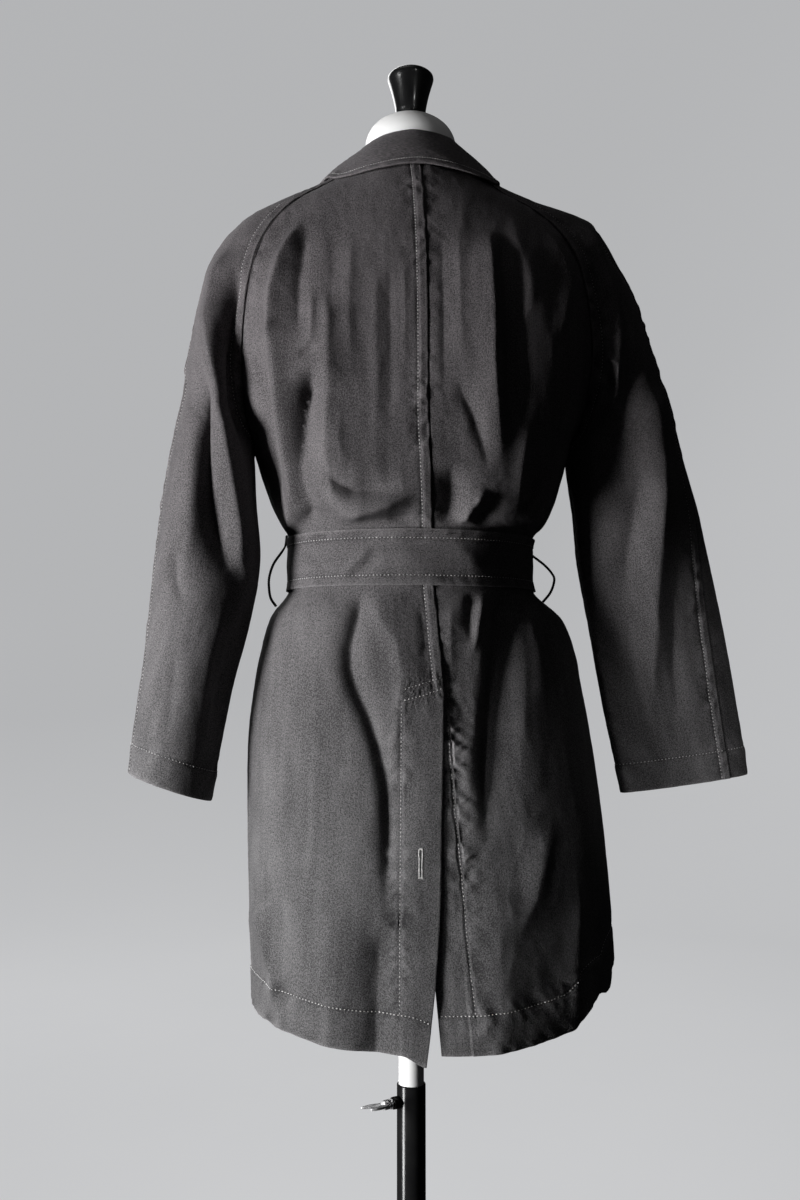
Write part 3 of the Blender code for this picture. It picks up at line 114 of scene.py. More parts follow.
HEM_RISE = (0.021, 0.035)  # the hem is higher at the left and right sides
SQUARE_LEFT = 1.8          # the upper back turns more squarely at the left
HEM_LIFT = 0.0190          # and caught up between the right back's middle and its side seam

# ---------------------------------------------- sleeve sections, neck to cuff
# xb, zb, turn_b: back raglan seam, and where the section's curve starts on it;
# xf, zf, turn_f: the same in front. Below section 9 both are the underarm seam.
# xa, za, ya: overarm line. deep_b, deep_f: depth of the curve. seam: where the
# overarm seam lies on the curve (180 is the outer edge).
SLEEVE_COLUMNS = ("xb", "zb", "turn_b", "xf", "zf", "turn_f", "xa", "za", "ya", "deep_b", "deep_f", "seam")
SLEEVE_LEFT = (
    (0.0616, 1.4650, 112, 0.0647, 1.4503, 112, 0.0679, 1.4727, -.0020, 0.0450, 0.0530, 180),  # 0
    (0.0924, 1.4429, 113, 0.0903, 1.4334, 112, 0.0996, 1.4520, -.0020, 0.0430, 0.0550, 180),  # 1
    (0.1220, 1.4187, 114, 0.1147, 1.4103, 112, 0.1426, 1.4293, -.0020, 0.0630, 0.0660, 180),  # 2
    (0.1474, 1.3914, 114, 0.1371, 1.3851, 112, 0.1723, 1.4132, -.0020, 0.0770, 0.0770, 180),  # 3
    (0.1655, 1.3590, 112, 0.1532, 1.3559, 110, 0.1875, 1.4011, -.0020, 0.0840, 0.0840, 180),  # 4
    (0.1744, 1.3246, 106, 0.1631, 1.3215, 105, 0.2093, 1.3726, -.0020, 0.0830, 0.0850, 180),  # 5
    (0.1801, 1.2800, 84, 0.1699, 1.2780, 88, 0.2260, 1.3163, -.0020, 0.0760, 0.0810, 180),  # 6
    (0.1812, 1.2356, 50, 0.1735, 1.2346, 60, 0.2386, 1.2573, -.0010, 0.0740, 0.0780, 180),  # 7
    (0.1767, 1.1925, 23, 0.1731, 1.1925, 28, 0.2475, 1.2069, 0.0000, 0.0720, 0.0740, 180),  # 8
    (0.1683, 1.1643, 0, 0.1683, 1.1643, 0, 0.2533, 1.1720, 0.0000, 0.0690, 0.0690, 180),  # 9
    (0.1650, 1.1046, 0, 0.1650, 1.1046, 0, 0.2613, 1.1146, 0.0080, 0.0620, 0.0620, 180),  # 10
    (0.1606, 1.0434, 0, 0.1606, 1.0434, 0, 0.2677, 1.0484, 0.0140, 0.0560, 0.0560, 180),  # 11
    (0.1696, 0.9836, 0, 0.1696, 0.9836, 0, 0.2729, 0.9885, 0.0170, 0.0500, 0.0500, 180),  # 12
    (0.1870, 0.9149, 0, 0.1870, 0.9149, 0, 0.2797, 0.9226, 0.0160, 0.0480, 0.0480, 180),  # 13
    (0.1977, 0.8594, 0, 0.1977, 0.8594, 0, 0.2863, 0.8750, 0.0130, 0.0460, 0.0460, 180),  # 14
    (0.2088, 0.7967, 0, 0.2088, 0.7967, 0, 0.2912, 0.8256, 0.0100, 0.0440, 0.0440, 180),  # 15 cuff
)
SLEEVE_RIGHT = (
    (0.0616, 1.4650, 112, 0.0647, 1.4503, 112, 0.0679, 1.4777, -.0020, 0.0450, 0.0530, 180),  # 0
    (0.0924, 1.4429, 113, 0.0903, 1.4334, 112, 0.0996, 1.4603, -.0020, 0.0430, 0.0550, 180),  # 1
    (0.1220, 1.4187, 114, 0.1147, 1.4103, 112, 0.1385, 1.4424, -.0020, 0.0630, 0.0660, 180),  # 2
    (0.1474, 1.3914, 114, 0.1371, 1.3851, 112, 0.1790, 1.4313, -.0020, 0.0770, 0.0770, 178),  # 3
    (0.1645, 1.3590, 112, 0.1532, 1.3559, 110, 0.2073, 1.4155, -.0020, 0.0840, 0.0840, 175),  # 4
    (0.1734, 1.3246, 106, 0.1631, 1.3215, 105, 0.2299, 1.3831, -.0020, 0.0830, 0.0850, 170),  # 5
    (0.1801, 1.2800, 86, 0.1699, 1.2780, 88, 0.2490, 1.3465, -.0020, 0.0760, 0.0810, 165),  # 6
    (0.1827, 1.2356, 52, 0.1735, 1.2346, 60, 0.2641, 1.2904, 0.0000, 0.0720, 0.0760, 158),  # 7
    (0.1782, 1.1925, 24, 0.1742, 1.1925, 28, 0.2815, 1.2274, 0.0020, 0.0660, 0.0680, 152),  # 8
    (0.1704, 1.1643, 0, 0.1704, 1.1643, 0, 0.2938, 1.1781, 0.0040, 0.0600, 0.0600, 148),  # 9
    (0.1754, 1.1046, 0, 0.1754, 1.1046, 0, 0.3148, 1.1015, 0.0120, 0.0480, 0.0460, 142),  # 10
    (0.1783, 1.0434, 0, 0.1783, 1.0434, 0, 0.3277, 1.0360, 0.0190, 0.0380, 0.0340, 135),  # 11
    (0.1879, 0.9735, 0, 0.1879, 0.9735, 0, 0.3378, 0.9696, 0.0270, 0.0300, 0.0260, 131),  # 12
    (0.1981, 0.9005, 0, 0.1981, 0.9005, 0, 0.3467, 0.8995, 0.0340, 0.0240, 0.0200, 130),  # 13
    (0.2075, 0.8480, 0, 0.2075, 0.8480, 0, 0.3514, 0.8586, 0.0380, 0.0200, 0.0160, 130),  # 14
    (0.2172, 0.8017, 0, 0.2172, 0.8017, 0, 0.3556, 0.8197, 0.0380, 0.0180, 0.0140, 131),  # 15 cuff
)
CUFF = 15.0

# ----------------------------------------------------------- largest folds
# The back's folds are set out on an elevation drawn in perspective from a
# standing point behind the coat. On its sheet, "across" and "down" are in
# sheet units of about a millimetre, and the stand's axis is at across 411.
SIGHT_TURN = math.radians(8.0)
SIGHT_AWAY, SIGHT_HEIGHT, SIGHT_TILT = 1.25, 0.920, math.radians(3.9)
SHEET_SCALE, SHEET_AXIS, SHEET_MIDDLE = 1170.0, (411.0, 400.0), 600.0

# on: body, left or right sleeve. path: (across, down) along the crest or trough.
# wide_l, wide_r: reach to its left and right in sheet units. rise: metres out.
FOLD_COLUMNS = ("on", "wide_l", "wide_r", "rise", "path")
FOLDS = (
    # upper back, left
    ("body", 6, 10, 0.0088, ((303, 220), (282, 256), (273, 290), (271, 322), (275, 359), (283, 444), (289, 490), (294, 590))),
    ("body", 13, 6, -.0105, ((258, 345), (265, 400), (272, 460), (280, 525))),
    ("body", 8, 8, -.0055, ((306, 220), (298, 286), (297, 345))),
    ("body", 9, 26, -.0162, ((314, 364), (299, 421), (293, 467), (298, 501), (318, 534), (334, 570))),
    ("body", 8, 15, 0.0060, ((327, 290), (327, 364), (324, 450), (332, 494), (348, 512), (366, 522))),
    # upper back, right
    ("body", 22, 6, 0.0080, ((488, 228), (491, 258), (494, 309), (494, 364), (498, 410), (501, 446), (499, 478))),
    ("body", 5, 17, -.0070, ((499, 232), (506, 275), (509, 330), (511, 400), (514, 462))),
    ("body", 7, 13, 0.0040, ((509, 226), (523, 256), (529, 281), (528, 335))),
    ("body", 8, 13, 0.0034, ((539, 222), (561, 254), (570, 278), (565, 318), (557, 350))),
    # skirt
    ("body", 8, 14, -.0088, ((363, 585), (356, 615), (349, 645), (348, 666), (355, 690), (367, 716), (378, 748), (387, 786), (388, 850), (386, 930))),
    ("body", 9, 22, 0.0048, ((365, 588), (383, 622), (397, 645), (403, 680), (402, 740))),
    ("body", 18, 16, 0.0015, ((330, 590), (325, 650), (332, 730))),
    ("body", 9, 10, -.0026, ((306, 588), (294, 622), (302, 668))),
    ("body", 8, 28, -.0115, ((500, 585), (498, 643), (493, 680), (489, 720), (487, 765), (487, 860))),
    ("body", 12, 14, 0.0018, ((516, 596), (519, 628), (526, 664), (526, 740), (512, 810))),
    ("body", 28, 26, 0.0050, ((332, 900), (330, 980), (331, 1160))),
    ("body", 17, 24, -.0085, ((380, 925), (377, 990), (372, 1160))),
    ("body", 32, 28, 0.0058, ((498, 880), (500, 960), (500, 1160))),
    # left sleeve
    ("left", 9, 13, 0.0125, ((229, 248), (219, 278), (211, 320), (214, 380), (218, 432))),
    ("left", 10, 11, -.0165, ((241, 262), (233, 300), (235, 360), (243, 430), (252, 470))),
    ("left", 22, 8, -.0190, ((202, 366), (206, 430), (212, 486), (220, 530), (228, 566), (241, 592))),
    ("left", 5, 15, 0.0105, ((217, 400), (222, 440), (228, 481), (235, 522), (240, 561), (249, 588), (262, 597))),
    ("left", 11, 13, 0.0045, ((192, 410), (191, 470), (189, 540), (186, 600))),
    ("left", 12, 12, -.0065, ((256, 606), (236, 640), (222, 690), (214, 750))),
    # right sleeve
    ("right", 17, 6, 0.0060, ((584, 216), (598, 246), (607, 270), (615, 298), (620, 333), (619, 368), (612, 398), (597, 413))),
    ("right", 7, 15, -.0085, ((594, 216), (609, 248), (620, 280), (629, 322), (631, 372), (624, 424), (612, 470))),
    ("right", 24, 13, 0.0088, ((650, 385), (660, 440), (663, 493), (656, 590), (654, 648), (650, 745))),
    ("right", 7, 8, -.0020, ((672, 516), (670, 590), (670, 640), (677, 702), (674, 735), (671, 768))),
    ("right", 14, 13, -.0065, ((641, 470), (630, 540), (622, 606))),
)
# The hidden sides fold in the same way. turn: degrees round the body from the
# centre back, or round the sleeve from its seam; section: along the tables.
HIDDEN_COLUMNS = ("on", "half_turn", "rise", "path")
HIDDEN_FOLDS = (
    ("body", 7.0, 0.0050, ((118, 14.2), (122, 15.5), (127, 17.5))),
    ("body", 8.0, -.0060, ((140, 14.2), (137, 15.5), (138, 18.0))),
    ("body", 9.0, -.0055, ((-134, 14.2), (-138, 16.0), (-133, 18.0))),
    ("body", 8.0, 0.0050, ((-118, 14.2), (-117, 15.5), (-122, 17.0))),
    ("body", 12.0, 0.0060, ((-140, 19.0), (-142, 22.5))),
    ("body", 12.0, 0.0060, ((146, 19.0), (142, 22.5))),
    ("body", 8.0, 0.0045, ((128, 9.5), (134, 10.5), (140, 11.8))),
    ("body", 8.0, 0.0045, ((-126, 9.5), (-135, 10.5), (-143, 11.8))),
)


# ------------------------------------------------------------------- helpers
def read(rows, columns, name, t):
    """Value of a named column at section t, on a smooth curve through the rows."""
    v = np.array([row[columns.index(name)] for row in rows], dtype=float)
    v = np.concatenate(([2 * v[0] - v[1]], v, [2 * v[-1] - v[-2]]))
    t = np.clip(np.asarray(t, dtype=float), 0.0, len(rows) - 1.0)
    i = np.minimum(t.astype(int), len(rows) - 2)
    f = t - i
    a, b, c, d = v[i], v[i + 1], v[i + 2], v[i + 3]
    slope_b, slope_c = (c - a) / 2, (d - b) / 2
    return (
        b * (1 + 2 * f) * (1 - f) ** 2 + slope_b * f * (1 - f) ** 2
        + c * f * f * (3 - 2 * f) + slope_c * f * f * (f - 1)
    )


def ease(x, low, high):
    """0 below low, 1 above high, smooth between."""
    k = np.clip((np.asarray(x, dtype=float) - low) / (high - low), 0.0, 1.0)
    return k * k * (3 - 2 * k)


def body(name, t):
    return read(BODY_ROWS, BODY_COLUMNS, name, t)


def sleeve(side, name, t):
    return read(SLEEVE_LEFT if side > 0 else SLEEVE_RIGHT, SLEEVE_COLUMNS, name, t)


def seam_point(side, t, front):
    """A point of the raglan seam, or of the underarm seam below section 9."""
    f = "f" if front else "b"
    x, z = sleeve(side, "x" + f, t), sleeve(side, "z" + f, t)
    turn = np.radians(np.maximum(sleeve(side, "turn_" + f, np.minimum(t, 9.0)), 0.0))
    turn = np.where(t >= UNDERARM, 0.0, turn)
    deep = sleeve(side, "deep_" + f, t)
    y = sleeve(side, "ya", t) + (-1 if front else 1) * deep * np.sin(turn)
    return x, y, z, turn, deep


def body_point(t, turn):
    """The coat's body at section t, turned from the centre back (degrees, + to
    the wearer's left); beyond 90 it is the front."""
    t, turn = np.broadcast_arrays(np.asarray(t, float), np.asarray(turn, float))
    left = turn >= 0
    front = np.abs(turn) > 90.0
    s = np.abs(np.sin(np.radians(turn)))
    side_x, side_y, side_z = np.zeros(t.shape), np.zeros(t.shape), np.zeros(t.shape)
    low = t >= UNDERARM
    mid, half = body("mid", t), body("half", t)
    for side in (1, -1):
        for is_front in (False, True):
            x, y, z, _, _ = seam_point(side, np.minimum(t, UNDERARM), is_front)
            pick = (left if side > 0 else ~left) & (front == is_front)
            rise = HEM_RISE[0 if side > 0 else 1] * ease(t, 20.0, 22.0)
            side_x = np.where(pick, np.where(low, mid + side * half, side * x), side_x)
            side_y = np.where(pick, np.where(low, SIDE_Y * ease(t, 9.0, 12.0), y), side_y)
            side_z = np.where(pick, np.where(low, body("z", t) + rise, z), side_z)
    deep = np.where(front, -body("front", t), body("back", t))
    z0 = np.where(front, body("zf", t), body("z", t))
    flat, rnd = body("flat", t), body("round", t)
    flat = flat + np.where(left & ~front, SQUARE_LEFT * ease(t, 4.0, 6.5) * (1 - ease(t, 10.6, 12.0)), 0.0)
    x = mid + (side_x - mid) * s
    y = side_y + (deep - side_y) * np.clip(1 - s ** flat, 0.0, 1.0) ** rnd
    z = z0 + (side_z - z0) * s ** 2
    lifted = ease(s, 0.62, 0.84) * (1 - ease(s, 0.965, 1.0)) * ease(t, 19.0, 22.0)
    z = z + np.where(left | front, 0.0, HEM_LIFT * lifted)
    return np.stack((x, y, z), axis=-1)


def sleeve_point(side, t, turn):
    """The sleeve at section t; turn runs over the back from the inner seam (0 or
    the raglan seam) to the outer edge (180) and on round the front."""
    t, turn = np.broadcast_arrays(np.asarray(t, float), np.asarray(turn, float))
    xa, za, ya = (sleeve(side, n, t) for n in ("xa", "za", "ya"))
    out = None
    for is_front in (False, True):
        x, y, z, start, deep = seam_point(side, t, is_front)
        long = np.hypot(xa - x, za - z)
        half = long / (1 + np.cos(start))
        dx, dz = (xa - x) / long, (za - z) / long
        angle = np.radians(360.0 - turn if is_front else turn)
        reach = half * (-np.cos(angle)) - half
        p = np.stack(
            (side * (xa + dx * reach), ya + (-1 if is_front else 1) * deep * np.sin(angle), za + dz * reach),
            axis=-1,
        )
        out = p if out is None else np.where((turn > 180.0)[..., None], p, out)
    return out


def sleeve_turns(side, t, u, front):
    """Turn at u (0 to 1) across a sleeve's back or front half."""
    seam = sleeve(side, "seam", t)
    start = np.degrees(seam_point(side, t, front)[3])
    return seam + (360.0 - start - seam) * u if front else start + (seam - start) * u


def on_sheet(p):
    """Where a point falls on the perspective elevation."""
    away = np.array((math.sin(SIGHT_TURN), math.cos(SIGHT_TURN), 0.0))
    right = np.array((-math.cos(SIGHT_TURN), math.sin(SIGHT_TURN), 0.0))
    d = SIGHT_AWAY - p @ away
    s, h = p @ right, p[..., 2] - SIGHT_HEIGHT
    yaw = math.atan2(SHEET_AXIS[0] - SHEET_AXIS[1], SHEET_SCALE)
    s, d = s * math.cos(yaw) + d * math.sin(yaw), d * math.cos(yaw) - s * math.sin(yaw)
    deep = d * math.cos(SIGHT_TILT) + h * math.sin(SIGHT_TILT)
    up = h * math.cos(SIGHT_TILT) - d * math.sin(SIGHT_TILT)
    return SHEET_AXIS[1] + SHEET_SCALE * s / deep, SHEET_MIDDLE - SHEET_SCALE * up / deep


def near_path(u, v, path):
    """Distance to a path, which side of it, and how far along it (0 to 1)."""
    path = np.asarray(path, float)
    steps = np.hypot(*np.diff(path, axis=0).T)
    total = steps.sum()
    best = np.full(u.shape, 1e9)
    side, along = np.zeros(u.shape), np.zeros(u.shape)
    before = 0.0
    for (a, b), step in zip(zip(path[:-1], path[1:]), steps):
        d = (b - a) / step
        k = np.clip((u - a[0]) * d[0] + (v - a[1]) * d[1], 0.0, step)
        px, py = u - a[0] - d[0] * k, v - a[1] - d[1] * k
        dist = np.hypot(px, py)
        near = dist < best
        best = np.where(near, dist, best)
        side = np.where(near, d[0] * py - d[1] * px, side)
        along = np.where(near, (before + k) / total, along)
        before += step
    return best, side, along


CREST, LOOK_DEPTH = 1.4, 1.0     # the skin's folds are crisper and a little deeper than the CAD's


def fold_rise(group, p, n, t, turn):
    """How far the folds move a point of the cloth outwards."""
    u, v = on_sheet(p)
    toward = np.array((math.sin(SIGHT_TURN), math.cos(SIGHT_TURN), 0.0))
    seen = ease(n @ toward, 0.02, 0.30)
    rise = np.zeros(u.shape)
    for on, wide_l, wide_r, height, path in FOLDS:
        if on != group:
            continue
        dist, side, along = near_path(u, v, path)
        wide = np.where(side > 0, wide_l, wide_r)
        total = sum(math.hypot(c[0] - a[0], c[1] - a[1]) for a, c in zip(path[:-1], path[1:]))
        into = ease(along * total, -3.0, min(0.3 * total, 30.0))
        taper = into * ease((1 - along) * total, -3.0, min(0.4 * total, 110.0))
        rise += LOOK_DEPTH * height * np.exp(-((dist / wide) ** CREST)) * taper * seen
    for on, half_turn, height, path in HIDDEN_FOLDS:
        if on != group:
            continue
        scaled = [(a, b * 14.0) for a, b in path]
        dist, _, along = near_path(turn + 0.0 * u, (t + 0.0 * u) * 14.0, scaled)
        taper = ease(along, -0.02, 0.3) * ease(1 - along, -0.02, 0.3)
        rise += LOOK_DEPTH * height * np.exp(-((dist / half_turn) ** CREST)) * taper
    return rise


def normals(fn, t, turn, outward):
    """Unit normals of a surface function, pointing outward."""
    e, g = 0.02, 0.4
    a = fn(t + e, turn) - fn(t - e, turn)
    b = fn(t, turn + g) - fn(t, turn - g)
    n = np.cross(a, b)
    n /= np.maximum(np.linalg.norm(n, axis=-1, keepdims=True), 1e-12)
    return n * np.where(np.sum(n * outward, axis=-1, keepdims=True) < 0, -1.0, 1.0)


def body_cloth(t, turn):
    """A point of the body's cloth with its folds, before it leaves the seam."""
    t, turn = np.broadcast_arrays(np.asarray(t, float), np.asarray(turn, float))
    p = body_point(t, turn)
    centre = np.stack((body("mid", t), 0 * t, p[..., 2] - 0.3 * (t < 5)), axis=-1)
    safe = np.where(np.abs(turn) < 90, np.clip(turn, -89.0, 89.0), np.sign(turn) * np.clip(np.abs(turn), 91.0, 179.4))
    n = normals(body_point, np.clip(t, 0.03, HEM - 0.03), safe, p - centre)
    off_belt = 1 - ease(t, 11.4, 12.0) * (1 - ease(t, 14.0, 14.6))
    near_seam = 1 - ease(np.abs(np.sin(np.radians(turn))), 0.93, 1.0) * (1 - ease(t, 9.0, 9.8))
    rise = fold_rise("body", p, n, t, turn) * off_belt * near_seam * ease(t, 0.2, 1.6)
    return p + n * rise[..., None], n


def sleeve_cloth(side, t, turn):
    """A point of a sleeve's cloth with its folds."""
    t, turn = np.broadcast_arrays(np.asarray(t, float), np.asarray(turn, float))
    p = sleeve_point(side, t, turn)

    def fn(a, b):
        return sleeve_point(side, a, b)

    x, y, z, _, _ = seam_point(side, t, False)
    xa, za, ya = (sleeve(side, n, t) for n in ("xa", "za", "ya"))
    lean = 0.35 * (t < UNDERARM)
    centre = np.stack((side * (x + (xa - x) * (0.5 - lean)), ya, z + (za - z) * (0.5 - lean) - 0.05 * (t < 6)), axis=-1)
    start_b = np.degrees(seam_point(side, t, False)[3])
    start_f = 360.0 - np.degrees(seam_point(side, t, True)[3])
    n = normals(fn, np.clip(t, 0.03, CUFF - 0.03), np.clip(turn, start_b + 0.5, start_f - 0.5), p - centre)
    from_seam = np.minimum(turn - start_b, start_f - turn)
    near_seam = 1 - (1 - ease(from_seam, 0.0, 22.0)) * (1 - ease(t, 9.0, 9.6)) * ease(t, 3.0, 5.0)
    group = "left" if side > 0 else "right"
    rise = fold_rise(group, p, n, t, turn) * near_seam * ease(t, 0.5, 2.5)
    return p + n * rise[..., None], n


# --------------------------------------------------------------- finer folds
# As FOLDS, but only in the visual skin: on, wide_l, wide_r, rise, path.
FINE_FOLDS = (
    # upper back, left of the centre seam
    ("body", 4, 5, 0.0030, ((312, 288), (310, 338), (302, 352))),
    ("body", 4, 4, -.0026, ((298, 356), (307, 351), (317, 345))),
    ("body", 4, 4, 0.0030, ((277, 318), (269, 334), (258, 347))),
    ("body", 7, 7, 0.0011, ((375, 262), (377, 360), (376, 470))),
    ("body", 6, 6, -.0011, ((390, 262), (391, 370), (389, 465))),
    ("body", 3, 3, 0.0007, ((404, 258), (405, 320), (404, 378))),
    ("body", 10, 10, -.0108, ((318, 462), (332, 480), (352, 489), (380, 488), (402, 482))),
    ("body", 8, 8, 0.0088, ((336, 516), (372, 509), (414, 497))),
    ("body", 7, 7, -.0100, ((350, 529), (388, 525), (418, 515))),
    ("body", 5, 5, 0.0016, ((340, 404), (338, 440), (344, 470))),
    ("body", 6, 6, 0.0014, ((352, 230), (348, 300), (352, 380))),
    ("body", 6, 6, -.0012, ((334, 226), (332, 300), (336, 372))),
    # upper back, right of the centre seam
    ("body", 6, 9, -.0040, ((456, 378), (473, 414), (485, 450), (489, 474))),
    ("body", 6, 9, 0.0090, ((488, 490), (471, 506), (462, 520), (459, 531))),
    ("body", 7, 7, -.0085, ((504, 498), (486, 516), (478, 531))),
    ("body", 14, 11, -.0090, ((452, 462), (453, 495), (450, 515), (441, 531))),
    ("body", 5, 5, -.0013, ((442, 230), (444, 320), (444, 400))),
    ("body", 6, 6, 0.0013, ((458, 226), (460, 300), (462, 370))),
    ("body", 5, 5, 0.0016, ((530, 420), (522, 470), (516, 520))),
    ("body", 5, 5, -.0018, ((541, 400), (536, 450), (528, 505))),
    # skirt
    ("body", 5, 6, -.0042, ((472, 588), (470, 618), (472, 648))),
    ("body", 6, 5, 0.0042, ((484, 590), (477, 630), (473, 658))),
    ("body", 17, 9, 0.0054, ((553, 816), (535, 899), (513, 942))),
    ("body", 14, 3, 0.0056, ((578, 880), (576, 960), (575, 1050))),
    ("body", 6, 5, 0.0064, ((252, 900), (266, 943), (276, 982), (287, 1046))),
    ("body", 3, 3, -.0005, ((300, 884), (360, 880), (412, 882))),
    ("body", 6, 6, -.0018, ((420, 598), (424, 630), (428, 676))),
    ("body", 6, 6, 0.0016, ((452, 598), (450, 630), (452, 676))),
    ("body", 6, 7, -.0020, ((540, 604), (552, 640), (560, 700))),
    ("body", 6, 6, 0.0020, ((526, 600), (540, 650), (546, 720))),
    ("body", 7, 7, 0.0014, ((400, 690), (392, 760), (388, 840))),
    ("body", 9, 9, -.0012, ((300, 700), (292, 790), (290, 880))),
    ("body", 9, 9, 0.0013, ((318, 720), (314, 800), (312, 900))),
    # left sleeve
    ("left", 5, 5, -.0040, ((173, 545), (175, 580), (184, 606))),
    ("left", 7, 7, 0.0020, ((226, 600), (210, 660), (200, 730))),
    ("left", 6, 6, -.0014, ((178, 640), (172, 690), (166, 740))),
    # right sleeve
    ("right", 3, 3, 0.0044, ((600, 366), (608, 358), (617, 366), (618, 390), (611, 411), (599, 414))),
    ("right", 5, 4, -.0060, ((606, 370), (610, 386), (604, 402))),
    ("right", 6, 6, 0.0016, ((612, 640), (622, 700), (630, 760))),
)
# As HIDDEN_FOLDS: on, half_turn, rise, path of (turn, section).
FINE_HIDDEN = (
    ("body", 4.0, 0.0022, ((112, 9.6), (120, 10.6), (131, 11.9))),
    ("body", 4.0, -.0022, ((152, 9.8), (150, 10.8), (146, 11.9))),
    ("body", 5.0, 0.0020, ((160, 9.4), (158, 10.6), (154, 11.9))),
    ("body", 4.0, -.0020, ((-112, 9.7), (-122, 10.8), (-130, 11.9))),
    ("body", 4.5, 0.0024, ((-150, 9.5), (-153, 10.6), (-158, 11.9))),
    ("body", 5.0, -.0020, ((-162, 9.8), (-161, 10.8), (-164, 11.8))),
    ("body", 4.0, 0.0020, ((110, 5.2), (116, 7.2), (118, 9.2))),
    ("body", 5.0, -.0018, ((130, 5.5), (133, 7.5), (131, 9.6))),
    ("body", 4.0, 0.0020, ((-109, 5.4), (-115, 7.2), (-120, 9.0))),
    ("body", 5.0, -.0018, ((-128, 5.2), (-132, 7.2), (-130, 9.4))),
    ("body", 4.0, 0.0026, ((104, 14.2), (108, 15.6), (106, 17.6))),
    ("body", 4.5, -.0028, ((111, 14.2), (115, 15.7), (114, 18.4))),
    ("body", 4.5, 0.0028, ((153, 14.2), (150, 15.8), (152, 18.2))),
    ("body", 4.0, -.0022, ((160, 14.3), (160, 15.8), (163, 17.6))),
    ("body", 4.0, 0.0026, ((-105, 14.2), (-108, 15.5), (-110, 17.9))),
    ("body", 4.5, -.0028, ((-125, 14.2), (-125, 15.8), (-129, 18.6))),
    ("body", 4.5, 0.0026, ((-152, 14.2), (-150, 15.7), (-147, 18.0))),
    ("body", 4.0, -.0022, ((-160, 14.2), (-163, 15.5), (-160, 17.3))),
    ("body", 9.0, -.0030, ((122, 18.6), (124, 22.5))),
    ("body", 9.0, -.0030, ((-121, 18.8), (-124, 22.5))),
    ("left", 8.0, 0.0030, ((210, 5.6), (222, 7.5), (228, 9.4))),
    ("left", 7.0, -.0040, ((238, 6.0), (246, 8.0), (250, 10.0))),
    ("left", 9.0, 0.0030, ((262, 9.6), (256, 11.0), (248, 12.4))),
    ("left", 8.0, -.0034, ((300, 10.6), (284, 11.8), (262, 12.6))),
    ("left", 8.0, 0.0032, ((322, 11.4), (300, 12.6), (270, 13.3))),
    ("left", 8.0, -.0020, ((230, 12.0), (236, 13.4), (240, 14.4))),
    ("right", 8.0, 0.0030, ((212, 5.6), (226, 7.5), (230, 9.4))),
    ("right", 7.0, -.0040, ((242, 6.0), (250, 8.0), (252, 10.2))),
    ("right", 9.0, 0.0026, ((268, 9.8), (262, 11.2), (256, 12.6))),
    ("right", 8.0, -.0030, ((306, 10.4), (292, 11.8), (272, 12.8))),
    ("right", 8.0, 0.0026, ((326, 11.6), (306, 12.8), (286, 13.6))),
    ("right", 8.0, -.0020, ((240, 12.2), (246, 13.4), (248, 14.4))),
)
FOLDS = FOLDS + FINE_FOLDS
HIDDEN_FOLDS = HIDDEN_FOLDS + FINE_HIDDEN

# -------------------------------------------------------------- sewing (m)
SKIN = 0.0012             # one layer of the cloth as it shows
TOPSTITCH = 0.0112        # raglan, centre back and overarm seams: stitched this far in
BAND_RISE = 0.00095       # the seam turnings lift the cloth between seam and stitching
STITCH_PITCH, STITCH_LONG, STITCH_R = 0.0037, 0.0018, 0.00048
HEM_DEEP, CUFF_DEEP = 0.0360, 0.0300
PUCKER = 0.00185          # height of the puckers along a washed seam
THREE = 3                 # the cloth's inner layer has a third of the outer one's steps


def grain(x, y, cell_x, cell_y, seed):
    """Smooth noise from -1 to 1 with cells of the given size."""
    g = np.random.RandomState(seed).rand(61, 61) * 2 - 1
    a, b = np.broadcast_arrays(np.asarray(x, float) / cell_x, np.asarray(y, float) / cell_y)
    i, j = np.floor(a).astype(int), np.floor(b).astype(int)
    f, h = a - i, b - j
    f, h = f * f * (3 - 2 * f), h * h * (3 - 2 * h)
    g00, g10 = g[i % 61, j % 61], g[(i + 1) % 61, j % 61]
    g01, g11 = g[i % 61, (j + 1) % 61], g[(i + 1) % 61, (j + 1) % 61]
    return (g00 * (1 - f) + g10 * f) * (1 - h) + (g01 * (1 - f) + g11 * f) * h


def crease(x, y, cell_x, cell_y, seed):
    """Thin raised lines where smooth noise crosses zero, 0 to 1."""
    v = grain(x, y, cell_x, cell_y, seed) + 0.45 * grain(x, y, cell_x * 0.43, cell_y * 0.43, seed + 1)
    return np.exp(-((v / 0.10) ** 2))


def nearest(points, line, chunk=4000):
    """Distance from each point to a line of points, and how far along it."""
    line = np.asarray(line)
    run = np.concatenate(([0.0], np.cumsum(np.linalg.norm(np.diff(line, axis=0), axis=1))))
    flat = points.reshape(-1, 3)
    dist, along = np.empty(len(flat)), np.empty(len(flat))
    sq = np.sum(line ** 2, axis=1)
    for k in range(0, len(flat), chunk):
        part = flat[k:k + chunk]
        d = np.sum(part ** 2, axis=1)[:, None] + sq[None, :] - 2 * part @ line.T
        near = np.argmin(d, axis=1)
        dist[k:k + chunk] = np.sqrt(np.maximum(d[np.arange(len(part)), near], 0.0))
        along[k:k + chunk] = run[near]
    shape = points.shape[:-1]
    return dist.reshape(shape), along.reshape(shape)


def resample(line, step):
    """A line of points at even steps."""
    line = np.asarray(line, float)
    run = np.concatenate(([0.0], np.cumsum(np.linalg.norm(np.diff(line, axis=0), axis=1))))
    count = max(2, int(round(run[-1] / step)) + 1)
    at = np.linspace(0, run[-1], count)
    return np.stack([np.interp(at, run, line[:, k]) for k in range(line.shape[1])], axis=1)


